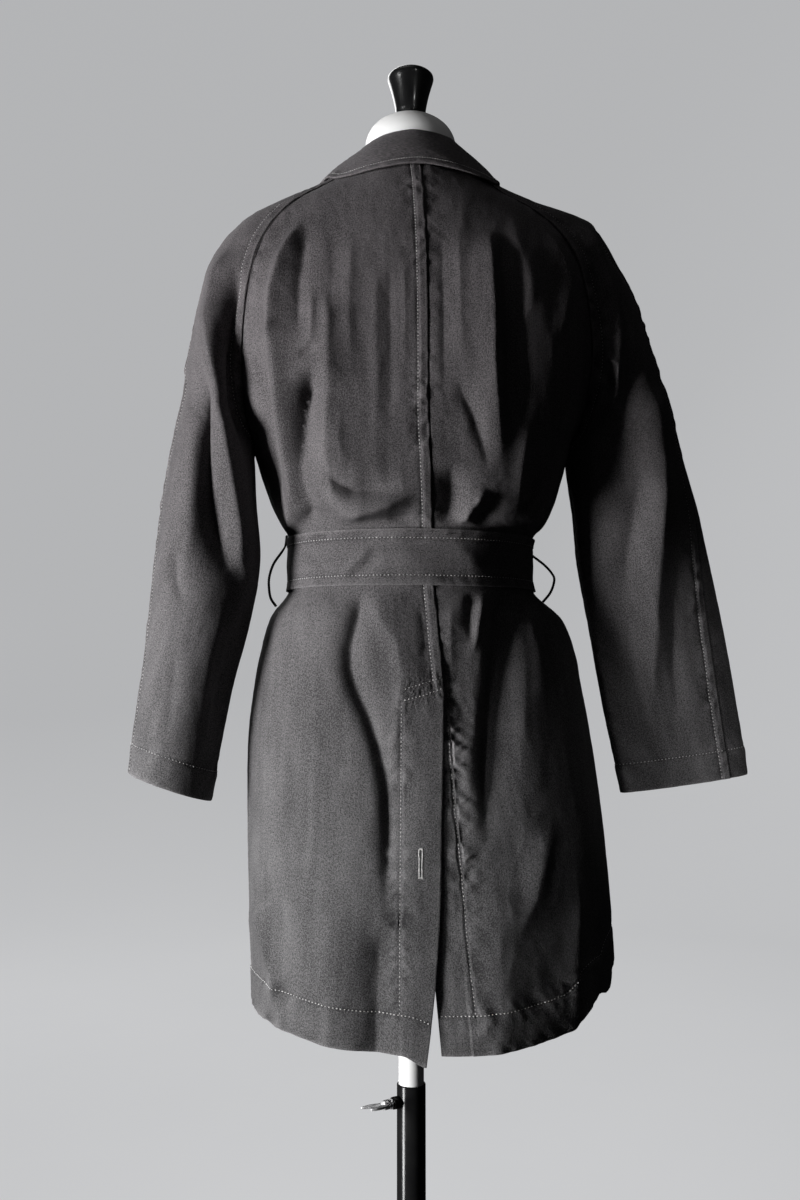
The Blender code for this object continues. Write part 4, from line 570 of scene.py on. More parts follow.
def pucker(along, dist, stitch, seed, reach=0.013):
    """Uneven ripples across a seam, dying out away from it."""
    rip = 0.62 * grain(along - 0.8 * dist, dist, 0.0078, 0.020, seed) + 0.45 * grain(along + 0.6 * dist, dist, 0.0048, 0.014, seed + 7)
    swell = 0.55 + 0.45 * grain(along, 0 * dist, 0.045, 1.0, seed + 3)
    return rip * swell * np.exp(-(((dist - 0.55 * stitch) / reach) ** 2)) * ease(dist, 0.0, 0.0022)


def seam_relief(dist, along, stitch, seed, over=True, strength=1.0):
    """Relief along a seam, with paler rubbed edges and pucker tops and painted shade in the seam's groove, at the
    stitching and in the puckers' hollows; over: this side lies on the turnings and is stitched down at the given
    distance, else it dips under the other."""
    rip = pucker(along, dist, stitch, seed)
    if over:
        band = BAND_RISE * (1 - ease(dist, stitch - 0.0016, stitch + 0.0030))
        band -= 0.0006 * (1 - ease(dist, 0.0, 0.0013))
        dip = -.00110 * np.exp(-(((dist - stitch) / 0.0017) ** 2))
        rise = band + dip + PUCKER * strength * rip
        # painted shade: darker in the seam's groove, at the stitching and in the puckers' hollows; the edge and pucker
        # tops paler where rubbed
        wear_and_shade = 0.5 * np.exp(-(((dist - 0.0016) / 0.0014) ** 2)) - 1.2 * np.exp(-((dist / 0.0009) ** 2)) + 1.25 * np.clip(rip, -0.6, 1.0) - 0.5 * np.exp(-(((dist - stitch) / 0.0012) ** 2))
    else:
        rise = -.0009 * (1 - ease(dist, 0.0, 0.0024)) + PUCKER * 0.6 * strength * rip
        # painted shade: darker where the seam dips under and in the puckers' hollows; pucker tops paler where rubbed
        wear_and_shade = 0.9 * np.clip(rip, -0.5, 1.0) - 1.6 * np.exp(-((dist / 0.0017) ** 2))
    return rise, wear_and_shade


def hem_relief(dist, along, deep, seed):
    """Relief of a turned hem, two layers below its stitching, roped, with a paler rubbed edge and rope ridges and
    painted shade at the stitching and in the rope's hollows.
    """
    slant = 0.7 * grain(along + 0.55 * dist, dist, 0.0105, 0.060, seed) + 0.4 * grain(along + 0.7 * dist, dist, 0.0060, 0.050, seed + 2)
    swell = 0.6 + 0.4 * grain(along, 0 * dist, 0.06, 1.0, seed + 5)
    inside = 1 - ease(dist, deep - 0.0005, deep + 0.0035)
    band = 0.00075 * inside
    dip = -.0011 * np.exp(-(((dist - deep) / 0.0018) ** 2))
    rope = slant * swell * (np.exp(-(((dist - deep) / 0.012) ** 2)) + 0.7 * np.exp(-((dist / 0.010) ** 2)))
    edge = -.0005 * (1 - ease(dist, 0.0, 0.0011))
    rise = band + dip + edge + 0.00220 * rope
    # paler rubbed edge and rope ridges; painted shade at the stitching and in the rope's hollows
    wear_and_shade = 0.9 * np.exp(-((dist / 0.0018) ** 2)) + 1.3 * np.clip(rope, -0.7, 1.0) - 0.4 * np.exp(-(((dist - deep) / 0.0012) ** 2))
    return rise, wear_and_shade


def washed(a, b, calm):
    """The crumple of washed cotton over the whole cloth, in cloth metres."""
    slow = 0.00055 * grain(a, b, 0.030, 0.110, 11) + 0.00030 * grain(a, b, 0.012, 0.040, 23)
    small = 0.00020 * grain(a, b, 0.0068, 0.0115, 31) + 0.00010 * grain(a, b, 0.0040, 0.0050, 41)
    lines = 0.00034 * crease(a + 0.5 * b, b - 0.4 * a, 0.060, 0.085, 51) * ease(grain(a, b, 0.09, 0.12, 61), 0.0, 0.5)
    return (slow + small + lines) * calm


def even_levels(fn, breaks, step, turn):
    """Section levels at even steps along the cloth; each stretch between two
    breaks has a multiple of three steps."""
    levels = [breaks[0]]
    for a, b in zip(breaks[:-1], breaks[1:]):
        t = np.linspace(a, b, 300)
        p = fn(t, turn + 0 * t)
        run = np.concatenate(([0.0], np.cumsum(np.linalg.norm(np.diff(p, axis=0), axis=1))))
        count = max(1, int(round(run[-1] / step / THREE))) * THREE
        levels += list(np.interp(np.linspace(0, run[-1], count + 1)[1:], run, t))
    return np.array(levels)


def cloth_metres(p):
    """How far each grid point is along its row and down its column."""
    across = np.zeros(p.shape[:2])
    across[:, 1:] = np.cumsum(np.linalg.norm(np.diff(p, axis=1), axis=-1), axis=1)
    down = np.zeros(p.shape[:2])
    down[1:] = np.cumsum(np.linalg.norm(np.diff(p, axis=0), axis=-1), axis=0)
    return across, down


def centre_turn(column, t):
    """Turn of a line near the centre back, from its place across the body."""
    x = (body(column, t) - body("mid", t)) / np.where(t >= UNDERARM, body("half", t), 0.1675)
    return np.degrees(np.arcsin(np.clip(x, -0.9, 0.9)))


def flap_offset(t, turn, side):
    """How far an edge of the vent stands out (left, over) or in (right, under)."""
    edge = centre_turn("cb", t)
    near = 1 - ease(np.abs(turn - edge), 4.0, 16.0)
    return side * FLAP * near * ease(t, 15.5, VENT_TOP)


def front_offset(t, turn, side):
    """The right front lies over the left front at the button edge."""
    near = 1 - ease(180.0 - np.abs(turn), 12.0, 26.0)
    lapped = np.where(turn * side < 0, 1.0, near)
    return -side * FLAP * lapped


def hem_drop(t, turn, side):
    """The flap's corner hangs lower than the rest of the hem."""
    if side < 0:
        # a pleat at the side laps forward, so the hem steps up behind it
        step = -0.007 * ease(-turn, 52.0, 60.0) + 0.015 * ease(-turn, 65.6, 67.2)
        return step * (1 - ease(-turn, 78.0, 89.0)) * ease(t, 20.2, 22.0)
    edge = centre_turn("cb", t)
    return -0.009 * (1 - ease(turn - edge, 0.0, 7.0)) * ease(t, 21.0, 22.0)


class Panel:
    """A grid of the cloth: outer points p, base normals n, cells kept, cloth metres, and for the look a lightness from
    -1 to 1, paler where rubbed and darker with painted shade in seam grooves, stitch dips and hollows."""

    def __init__(self, name, p, n, keep):
        self.name, self.base, self.n, self.keep = name, p, n, keep
        self.across, self.down = cloth_metres(p)
        self.rise = np.zeros(p.shape[:2])
        self.wear_and_shade = np.zeros(p.shape[:2])
        self.lines = []

    def raise_by(self, rise, wear_and_shade=0.0):
        self.rise = self.rise + rise
        self.wear_and_shade = self.wear_and_shade + wear_and_shade

    @property
    def outer(self):
        return self.base + self.n * self.rise[..., None]

    def at(self, i, j, extra=0.0):
        """Points and normals at fractional rows and columns."""
        p, n = self.outer, self.n
        i, j = np.clip(i, 0, p.shape[0] - 1.0001), np.clip(j, 0, p.shape[1] - 1.0001)
        a, b = i.astype(int), j.astype(int)
        f, h = (i - a)[:, None], (j - b)[:, None]
        mix = lambda g: (g[a, b] * (1 - f) + g[a + 1, b] * f) * (1 - h) + (g[a, b + 1] * (1 - f) + g[a + 1, b + 1] * f) * h
        normal = mix(n)
        normal /= np.linalg.norm(normal, axis=1, keepdims=True)
        return mix(p) + normal * extra, normal

    def row_crossing(self, field, value, from_end, rows=None):
        """Where a field that grows away from one side reaches a value: a line."""
        at_i, at_j = [], []
        for i in range(*(rows or (0, field.shape[0]))):
            line = field[i, ::-1] if from_end else field[i]
            over = np.nonzero(line >= value)[0]
            if not len(over) or over[0] == 0:
                continue
            k = over[0]
            f = k - 1 + (value - line[k - 1]) / max(line[k] - line[k - 1], 1e-9)
            at_i.append(float(i))
            at_j.append(field.shape[1] - 1 - f if from_end else f)
        return np.array(at_i), np.array(at_j)

    def column_crossing(self, field, value):
        """The same up from the lowest row, for hems."""
        at_i, at_j = [], []
        for j in range(field.shape[1]):
            line = field[::-1, j]
            over = np.nonzero(line >= value)[0]
            if not len(over) or over[0] == 0:
                continue
            k = over[0]
            f = k - 1 + (value - line[k - 1]) / max(line[k] - line[k - 1], 1e-9)
            at_i.append(field.shape[0] - 1 - f)
            at_j.append(float(j))
        return np.array(at_i), np.array(at_j)


def mesh_object(name, verts, faces, material, smooth=True, sharp=None):
    data = bpy.data.meshes.new(name)
    data.from_pydata([tuple(v) for v in verts], [], faces)
    data.validate()
    data.update()
    if material is not None:
        data.materials.append(material)
    obj = bpy.data.objects.new(name, data)
    bpy.context.scene.collection.objects.link(obj)
    if smooth:
        data.shade_smooth()
        if sharp:
            data.set_sharp_from_angle(angle=math.radians(sharp))
    return obj


def shell(name, outer, inner, keep, across, down, wear_and_shade, material):
    """A closed shell of cloth: a fine outer grid, an inner grid with a third of
    its steps, and a strip round the rim."""
    rows, cols = outer.shape[:2]
    index = -np.ones((rows, cols), int)
    used = np.zeros((rows, cols), bool)
    for a, b in ((0, 0), (0, 1), (1, 0), (1, 1)):
        used[a:rows - 1 + a, b:cols - 1 + b] |= keep
    index[used] = np.arange(used.sum())
    verts = list(outer[used])
    metres = list(zip(across[used], down[used]))
    worn_and_shaded = list(wear_and_shade[used])
    ii, jj = np.nonzero(keep)
    faces = np.stack((index[ii, jj], index[ii, jj + 1], index[ii + 1, jj + 1], index[ii + 1, jj]), axis=1).tolist()
    coarse = keep[::THREE, ::THREE]
    few = {}

    def low(i, j):
        if (i, j) not in few:
            few[i, j] = len(verts)
            verts.append(inner[i * THREE, j * THREE])
            metres.append((across[i * THREE, j * THREE], down[i * THREE, j * THREE]))
            worn_and_shaded.append(-0.1)
        return few[i, j]

    for i, j in zip(*np.nonzero(coarse)):
        ring = ((i, j), (i, j + 1), (i + 1, j + 1), (i + 1, j))
        faces.append([low(*k) for k in reversed(ring)])
        beside = ((i - 1, j), (i, j + 1), (i + 1, j), (i, j - 1))
        for (a, b), (x, y) in zip(zip(ring, ring[1:] + ring[:1]), beside):
            if 0 <= x < coarse.shape[0] and 0 <= y < coarse.shape[1] and coarse[x, y]:
                continue
            steps = [(a[0] * THREE + (b[0] - a[0]) * k, a[1] * THREE + (b[1] - a[1]) * k) for k in range(THREE, -1, -1)]
            faces.append([int(index[s]) for s in steps] + [low(*a), low(*b)])
    obj = mesh_object(name, verts, faces, material)
    data = obj.data
    if np.sum(np.cross(outer[1:, :-1] - outer[:-1, :-1], outer[:-1, 1:] - outer[:-1, :-1])[keep] * (outer - inner)[:-1, :-1][keep]) > 0:
        data.flip_normals()
    layer = data.uv_layers.new(name="weave")
    metres = np.array(metres)
    loops = np.zeros(len(data.loops), int)
    data.loops.foreach_get("vertex_index", loops)
    layer.data.foreach_set("uv", metres[loops].astype(np.float32).ravel())
    data.attributes.new("wear_and_shade", "FLOAT", "POINT").data.foreach_set("value", np.array(worn_and_shaded, np.float32))
    data.set_sharp_from_angle(angle=math.radians(62))
    return obj


# ------------------------------------------------------------------ materials
class Nodes:
    """Short words for building a material's nodes."""

    def __init__(self, name):
        self.m = bpy.data.materials.new(name)
        self.m.use_nodes = True
        self.t = self.m.node_tree
        self.shader = self.t.nodes["Principled BSDF"]
        self.object = self.new("ShaderNodeTexCoord").outputs["Object"]

    def new(self, kind, **values):
        node = self.t.nodes.new(kind)
        for k, v in values.items():
            if k in node.inputs:
                node.inputs[k].default_value = v
            else:
                setattr(node, k, v)
        return node

    def link(self, a, b):
        self.t.links.new(a, b)

    def noise(self, scale, detail=3.0, rough=0.55, vector=None, stretch=None):
        v = vector or self.object
        if stretch:
            mapping = self.new("ShaderNodeMapping")
            mapping.inputs["Scale"].default_value = stretch
            self.link(v, mapping.inputs["Vector"])
            v = mapping.outputs["Vector"]
        n = self.new("ShaderNodeTexNoise", Scale=scale, Detail=detail, Roughness=rough)
        self.link(v, n.inputs["Vector"])
        return n.outputs["Fac"]

    def span(self, value, a, b, c, d, clamp=True):
        n = self.new("ShaderNodeMapRange", clamp=clamp)
        for k, v in zip(("From Min", "From Max", "To Min", "To Max"), (a, b, c, d)):
            n.inputs[k].default_value = v
        self.link(value, n.inputs["Value"])
        return n.outputs["Result"]

    def math(self, kind, a, b):
        n = self.new("ShaderNodeMath", operation=kind)
        for k, v in enumerate((a, b)):
            if isinstance(v, (int, float)):
                n.inputs[k].default_value = v
            else:
                self.link(v, n.inputs[k])
        return n.outputs[0]

    def blend(self, fac, a, b, kind="MIX"):
        n = self.new("ShaderNodeMix", data_type="RGBA", blend_type=kind)
        for socket, v in ((n.inputs[0], fac), (n.inputs[6], a), (n.inputs[7], b)):
            if isinstance(v, (int, float)):
                socket.default_value = v
            elif isinstance(v, tuple):
                socket.default_value = (*v, 1.0) if len(v) == 3 else v
            else:
                self.link(v, socket)
        return n.outputs[2]

    def bump(self, height, strength, distance, under=None):
        n = self.new("ShaderNodeBump", Strength=strength, Distance=distance)
        self.link(height, n.inputs["Height"])
        if under is not None:
            self.link(under, n.inputs["Normal"])
        return n.outputs["Normal"]

    def set(self, **values):
        for k, v in values.items():
            self.shader.inputs[k.replace("_", " ")].default_value = v


TWILL_DARK, TWILL_LIGHT = (0.0330, 0.0322, 0.0332), (0.1750, 0.1710, 0.1740)
TWILL_PITCH = 0.00125     # the rib of the twill


def twill(name, dark=TWILL_DARK, light=TWILL_LIGHT):
    """Washed cotton twill: a steep fine rib, heathered, paler where it is rubbed, and darker where painted shade lies
    in seam grooves, stitch dips and the hollows of puckers.
    """
    k = Nodes(name)
    metres = k.new("ShaderNodeUVMap", uv_map="weave").outputs["UV"]
    worn_and_shaded = k.new("ShaderNodeAttribute", attribute_name="wear_and_shade").outputs["Fac"]
    lean = k.new("ShaderNodeMapping")
    lean.inputs["Rotation"].default_value = (0.0, 0.0, math.radians(-27))
    k.link(metres, lean.inputs["Vector"])
    rib = k.new("ShaderNodeTexWave", wave_type="BANDS", bands_direction="X", wave_profile="SIN")
    rib.inputs["Scale"].default_value = 2 * math.pi / TWILL_PITCH / 20.0
    rib.inputs["Distortion"].default_value = 1.6
    rib.inputs["Detail"].default_value = 1.0
    rib.inputs["Detail Scale"].default_value = 0.6
    k.link(lean.outputs["Vector"], rib.inputs["Vector"])
    slub = k.noise(620.0, 2.0, 0.6, vector=metres, stretch=(1.0, 0.55, 1.0))
    speck = k.noise(820.0, 1.0, 0.5, vector=metres)
    streak = k.noise(150.0, 2.0, 0.5, vector=metres, stretch=(1.0, 0.07, 1.0))
    cloud = k.noise(9.0, 4.0, 0.6)
    # brightness: clouds and streaks of the wash, heather of the yarn, rubbing on edges and ridges, and painted shade in
    # seam grooves, stitch dips and the hollows of puckers and crumples
    tone = k.math("ADD", k.span(cloud, 0.3, 0.7, -0.10, 0.12), k.span(streak, 0.3, 0.7, -0.07, 0.07))
    tone = k.math("ADD", tone, k.span(slub, 0.3, 0.7, -0.26, 0.26))
    tone = k.math("ADD", tone, k.span(speck, 0.35, 0.65, -0.34, 0.34))
    tone = k.math("ADD", tone, k.span(rib.outputs["Fac"], 0.0, 1.0, -0.06, 0.06))
    # the attribute read here holds both rubbing and painted shade
    tone = k.math("ADD", tone, k.span(worn_and_shaded, -1.0, 1.0, -0.46, 0.62, clamp=True))
    tone = k.span(tone, -0.35, 0.95, 0.0, 1.0)
    colour = k.blend(tone, dark, light)
    # a trace of violet brown high up, of blue grey low down
    high = k.new("ShaderNodeSeparateXYZ")
    k.link(k.object, high.inputs[0])
    colour = k.blend(k.span(high.outputs["Z"], 0.75, 1.30, 0.0, 1.0), colour,
                     k.blend(1.0, colour, (1.04, 0.98, 1.00), "MULTIPLY"))
    k.link(colour, k.shader.inputs["Base Color"])
    k.link(k.span(slub, 0.2, 0.8, 0.78, 0.95), k.shader.inputs["Roughness"])
    height = k.math("ADD", k.math("MULTIPLY", rib.outputs["Fac"], 0.45), k.math("MULTIPLY", slub, 0.9))
    k.link(k.bump(k.noise(330.0, 3.0, 0.6, vector=metres), 0.35, 0.0006, k.bump(height, 0.55, 0.00035)), k.shader.inputs["Normal"])
    k.set(Sheen_Weight=0.04, Sheen_Roughness=0.45, Sheen_Tint=(0.75, 0.75, 0.80, 1.0), Specular_IOR_Level=0.10)
    return k.m


def thread(name, dark, light):
    k = Nodes(name)
    k.link(k.blend(k.span(k.noise(240.0, 2.0), 0.35, 0.65, 0.0, 1.0), dark, light), k.shader.inputs["Base Color"])
    ply = k.new("ShaderNodeTexWave", wave_type="BANDS", bands_direction="DIAGONAL")
    ply.inputs["Scale"].default_value = 420.0
    k.link(k.object, ply.inputs["Vector"])
    k.link(k.bump(ply.outputs["Fac"], 0.4, 0.0002), k.shader.inputs["Normal"])
    k.link(k.span(k.noise(300.0), 0.3, 0.7, 0.55, 0.75), k.shader.inputs["Roughness"])
    k.set(Sheen_Weight=0.2, Specular_IOR_Level=0.35)
    return k.m


def jersey(name):
    """White jersey stretched over the form: a fine knit, hardly soiled."""
    k = Nodes(name)
    k.link(k.blend(k.span(k.noise(11.0, 4.0), 0.35, 0.7, 0.0, 1.0), (0.86, 0.86, 0.86), (0.79, 0.785, 0.775)), k.shader.inputs["Base Color"])
    wale = k.new("ShaderNodeTexWave", wave_type="BANDS", bands_direction="X")
    wale.inputs["Scale"].default_value = 300.0
    k.link(k.object, wale.inputs["Vector"])
    course = k.new("ShaderNodeTexWave", wave_type="BANDS", bands_direction="Z")
    course.inputs["Scale"].default_value = 360.0
    k.link(k.object, course.inputs["Vector"])
    knit = k.math("MULTIPLY", wale.outputs["Fac"], course.outputs["Fac"])
    k.link(k.bump(knit, 0.15, 0.0003), k.shader.inputs["Normal"])
    k.link(k.span(k.noise(60.0), 0.3, 0.7, 0.68, 0.82), k.shader.inputs["Roughness"])
    k.set(Sheen_Weight=0.1, Specular_IOR_Level=0.3)
    return k.m


def coated(name, colour, other, rough, marks=0.06, coat=0.0, metal=0.0, scale=30.0, shine=0.5):
    """Lacquer, enamel, horn or plate: slight cloudiness, fine scratches and dust."""
    k = Nodes(name)
    cloud = k.noise(scale, 4.0, 0.6)
    scratch = k.noise(260.0, 2.0, 0.7, stretch=(1.0, 1.0, 0.06))
    k.link(k.blend(k.span(cloud, 0.35, 0.7, 0.0, 1.0), colour, other), k.shader.inputs["Base Color"])
    uneven = k.math("ADD", k.span(cloud, 0.3, 0.7, rough - marks / 2, rough + marks / 2, clamp=False), k.span(scratch, 0.55, 0.75, 0.0, marks))
    k.link(uneven, k.shader.inputs["Roughness"])
    k.link(k.bump(scratch, 0.06, 0.0002), k.shader.inputs["Normal"])
    k.set(Metallic=metal, Specular_IOR_Level=shine, Coat_Weight=coat, Coat_Roughness=0.08)
    return k.m


def horn_material(name):
    k = Nodes(name)
    swirl = k.noise(90.0, 5.0, 0.65, stretch=(1.0, 1.0, 0.35))
    k.link(k.blend(k.span(swirl, 0.4, 0.66, 0.0, 1.0), (0.020, 0.013, 0.010), (0.105, 0.066, 0.042)), k.shader.inputs["Base Color"])
    k.link(k.span(k.noise(200.0), 0.3, 0.7, 0.26, 0.42), k.shader.inputs["Roughness"])
    k.link(k.bump(k.noise(420.0, 2.0), 0.08, 0.0002), k.shader.inputs["Normal"])
    k.set(Specular_IOR_Level=0.5, Coat_Weight=0.15)
    return k.m


TWILL = twill("washed_twill_look")
THREAD = thread("sewing_thread", (0.24, 0.237, 0.24), (0.48, 0.47, 0.465))
THREAD_PALE = thread("sewing_thread_pale", (0.36, 0.355, 0.355), (0.66, 0.65, 0.64))
THREAD_BLACK = thread("loop_thread", (0.010, 0.010, 0.0105), (0.030, 0.029, 0.030))
JERSEY = jersey("form_cover_look")
LACQUER = coated("black_lacquer_look", (0.006, 0.006, 0.0065), (0.012, 0.012, 0.012), 0.20, coat=0.5)
WHITE = coated("white_enamel_look", (0.80, 0.80, 0.80), (0.74, 0.74, 0.73), 0.34)
BLACK = coated("black_enamel_look", (0.007, 0.007, 0.0075), (0.013, 0.013, 0.013), 0.19, shine=0.16)
STEEL = coated("bright_steel_look", (0.66, 0.66, 0.67), (0.54, 0.54, 0.55), 0.42, metal=0.5, scale=80.0)
HORN = horn_material("horn_look")


# --------------------------------------------------------------- body panels
BACK_STEPS, UNDER_STEPS, FRONT_STEPS, SLEEVE_BACK_STEPS, SLEEVE_FRONT_STEPS = 144, 24, 84, 108, 66


def close_ends(count):
    """Places from 0 to 1 that lie closer together near both seams."""
    u = np.linspace(0.0, 1.0, count + 1)
    return (u - 0.52 * np.sin(2 * math.pi * u) / (2 * math.pi))[None, :]


FRONT_LAP = 9.0           # degrees past the centre front that each front reaches
back_t = even_levels(body_point, (0.0, UNDERARM, VENT_TOP, HEM), 0.0024, 40.0)[:, None]
front_t = even_levels(body_point, (0.0, UNDERARM, HEM), 0.0032, 140.0)[:, None]
sleeve_t = even_levels(lambda t, turn: sleeve_point(1, t, turn), (0.0, UNDERARM, CUFF), 0.0025, 150.0)[:, None]
sleeve_front_t = even_levels(lambda t, turn: sleeve_point(1, t, turn), (0.0, UNDERARM, CUFF), 0.0033, 150.0)[:, None]
vent_row = int(np.argmin(np.abs(back_t[:, 0] - VENT_TOP)))
panels = {}

for side, name in ((1, "back_left"), (-1, "back_right")):
    u = close_ends(BACK_STEPS)
    start = centre_turn("cb" if side > 0 else "fold", back_t) * side
    turn = (start + (90.0 - start) * u) * side
    keep = np.ones((len(back_t) - 1, BACK_STEPS), bool)
    if side < 0:
        under, fold = centre_turn("under", back_t), turn[:, :1]
        extra = under + (fold - under) * np.linspace(0.0, 1.0, UNDER_STEPS + 1)[None, :-1]
        turn = np.concatenate((extra, turn), axis=1)
        keep = np.concatenate((np.repeat(np.arange(len(back_t) - 1)[:, None] >= vent_row, UNDER_STEPS, axis=1), keep), axis=1)
    t = back_t + 0 * turn
    p, n = body_cloth(t, turn)
    shift = flap_offset(t, turn, side)
    if side < 0:
        past = ease(turn - centre_turn("fold", t), 0.0, 12.0)
        shift = np.where(turn > centre_turn("fold", t) - 0.01, -(FLAP + 0.0022 * past) * ease(t, 15.5, VENT_TOP), shift)
    p = p + n * shift[..., None]
    p[..., 2] += hem_drop(t, turn, side)
    panels[name] = Panel(name, p, n, keep)
    panels[name].t, panels[name].turn = t, turn
for side, name in ((1, "front_left"), (-1, "front_right")):
    u = close_ends(FRONT_STEPS)
    turn = side * (90.0001 + (90.0 + FRONT_LAP * ease(front_t, -4.0, -1.0)) * u)
    real = np.where(np.abs(turn) > 180.0, turn - side * 360.0, turn)
    t = front_t + 0 * turn
    p, n = body_cloth(t, real)
    p = p + n * front_offset(t, real, side)[..., None]
    panels[name] = Panel(name, p, n, np.ones((len(front_t) - 1, FRONT_STEPS), bool))
    panels[name].t, panels[name].turn = t, turn
for side, word in ((1, "left"), (-1, "right")):
    for front in (False, True):
        levels = sleeve_front_t if front else sleeve_t
        count = SLEEVE_FRONT_STEPS if front else SLEEVE_BACK_STEPS
        u = close_ends(count)
        t = levels + 0 * u
        turn = sleeve_turns(side, t, u, front)
        p, n = sleeve_cloth(side, t, turn)
        edge = -1 if front else 0
        p[:, edge, 0] += side * ARMPIT * ease(levels[:, 0], 8.0, 9.0)
        name = "sleeve_%s_%s" % (word, "front" if front else "back")
        panels[name] = Panel(name, p, n, np.ones((len(levels) - 1, count), bool))
        panels[name].t, panels[name].turn = t, turn

# ------------------------------------------------ seams, hems and their relief
# on: panel; line: which edge of it; over: it lies on the turnings; stitch: how
# far in it is stitched, or 0 for a plain seam.
SEAM_COLUMNS = ("on", "line", "over", "stitch", "seed")
SEAMS = (
    ("back_left", "centre", True, 0.0104, 101),
    ("back_right", "centre", False, 0.0104, 102),
    ("back_left", "raglan", False, TOPSTITCH, 103),
    ("back_right", "raglan", False, TOPSTITCH, 104),
    ("front_left", "raglan", False, TOPSTITCH, 105),
    ("front_right", "raglan", False, TOPSTITCH, 106),
    ("sleeve_left_back", "raglan", True, TOPSTITCH, 107),
    ("sleeve_right_back", "raglan", True, TOPSTITCH, 108),
    ("sleeve_left_front", "raglan", True, TOPSTITCH, 109),
    ("sleeve_right_front", "raglan", True, TOPSTITCH, 110),
    ("sleeve_left_back", "overarm", True, 0.0100, 111),
    ("sleeve_right_back", "overarm", True, 0.0100, 112),
    ("sleeve_left_front", "overarm", False, 0.0100, 113),
    ("sleeve_right_front", "overarm", False, 0.0100, 114),
    ("back_left", "side", False, 0.0, 115),
    ("back_right", "side", False, 0.0, 116),
    ("front_left", "side", False, 0.0, 117),
    ("front_right", "side", False, 0.0, 118),
    ("sleeve_left_back", "inner", False, 0.0, 119),
    ("sleeve_right_back", "inner", False, 0.0, 120),
    ("sleeve_left_front", "inner", False, 0.0, 121),
    ("sleeve_right_front", "inner", False, 0.0, 122),
    ("front_left", "edge", True, 0.0075, 123),
    ("front_right", "edge", True, 0.0075, 124),
)


def edge_line(panel, line):
    """The grid points of one edge of a panel."""
    levels, column = panel.t[:, 0], 0
    rows = np.ones(len(levels), bool)
    back, front_half = panel.name.startswith("back"), panel.name.endswith("_front")
    if line == "centre":
        column, rows = (UNDER_STEPS if panel.name == "back_right" else 0), levels <= VENT_TOP + 0.001
    elif line in ("raglan", "side", "inner"):
        column = -1 if (back or front_half) else 0
        rows = levels <= UNDERARM + 0.001 if line == "raglan" else levels >= UNDERARM - 0.001
    elif line == "overarm":
        column = 0 if front_half else -1
    elif line == "edge":
        column = -1
    return panel.base[rows, column], column, np.nonzero(rows)[0]


sewing = {}               # panel -> stitched lines: (points, normals)
for on, line, over, stitch, seed in SEAMS:
    panel = panels[on]
    points, column, rows = edge_line(panel, line)
    dist, along = nearest(panel.base, resample(points, 0.0010))
    rise, wear_and_shade = seam_relief(dist, along, stitch or 0.006, seed, over, (1.3 if line == "overarm" and "right" in on else 1.0) if stitch else 0.45)
    if not stitch:
        wear_and_shade = wear_and_shade + 0.5 * np.exp(-(((dist - 0.0012) / 0.0016) ** 2))
    panel.raise_by(rise, wear_and_shade)
    if over:
        panel.lines.append((panel.row_crossing(dist, stitch, column == -1, (rows[0], rows[-1] + 1)), THREAD))

for name, panel in panels.items():
    sleeve_piece = name.startswith("sleeve")
    deep = CUFF_DEEP if sleeve_piece else HEM_DEEP
    first = UNDER_STEPS if name == "back_right" else 0
    dist, along = nearest(panel.base, resample(panel.base[-1], 0.0010))
    rise, wear_and_shade = hem_relief(dist, along, deep, 200 + len(name))
    panel.raise_by(rise, wear_and_shade)
    panel.hem = dist
    panel.lines.append((panel.column_crossing(dist, deep), THREAD_PALE if not sleeve_piece else THREAD))

# lines that are set out on the elevation: vent bar, vent facings
VENT_BAR = (((402, 690), (420, 684.5), (443, 677)), ((401.5, 701), (423, 695.6), (443.5, 688)))
FLAP_STITCH = ((401.5, 703), (401, 800), (400, 900), (399.5, 1019))
UNDER_STITCH = ((447.5, 716), (450, 756), (454.6, 811), (459.6, 856), (465, 912), (468.6, 956), (476.5, 1019))
PIXEL = 0.00106           # metres for each unit of the elevation at the cloth

for name in ("back_left", "back_right"):
    panel = panels[name]
    a, b = on_sheet(panel.base)
    left = name == "back_left"
    for path in (VENT_BAR + (FLAP_STITCH,)) if left else (UNDER_STITCH,):
        dist, side, along = near_path(a, b, path)
        dist = dist * PIXEL
        run = along * 0.36
        rip = pucker(run, np.abs(dist - 0.002), 0.0, 300 + len(path), 0.012 if left else 0.020)
        if not left:
            rip = rip * (1 + 0.9 * (side < 0)) * 1.25
        # painted shade along the stitching and in the puckers' hollows; pucker tops paler where rubbed
        panel.raise_by(-.0008 * np.exp(-((dist / 0.0017) ** 2)) + 0.0019 * rip, 1.3 * rip - 0.20 * np.exp(-((dist / 0.0012) ** 2)))
    if left:
        # the facing under the flap lifts it up to its stitching, and its edge is folded
        line = np.interp(b, [y for _, y in FLAP_STITCH], [x for x, _ in FLAP_STITCH])
        below = ease(b, 694.0, 698.0)
        panel.raise_by(0.00045 * ease(a - line, -0.5, 2.5) * below)
        edge = panel.base[vent_row:, 0]
        dist, along = nearest(panel.base, resample(edge, 0.0010))
        wave = grain(along, 0 * along, 0.011, 1.0, 330)
        # the folded edge paler where rubbed; its ripple paler on top and darker in its hollows with painted shade
        panel.raise_by(-.0005 * (1 - ease(dist, 0, 0.0012)) + 0.0003 * wave * np.exp(-((dist / 0.006) ** 2)),
                       0.75 * np.exp(-((dist / 0.0016) ** 2)) + 0.2 * wave * np.exp(-((dist / 0.005) ** 2)))

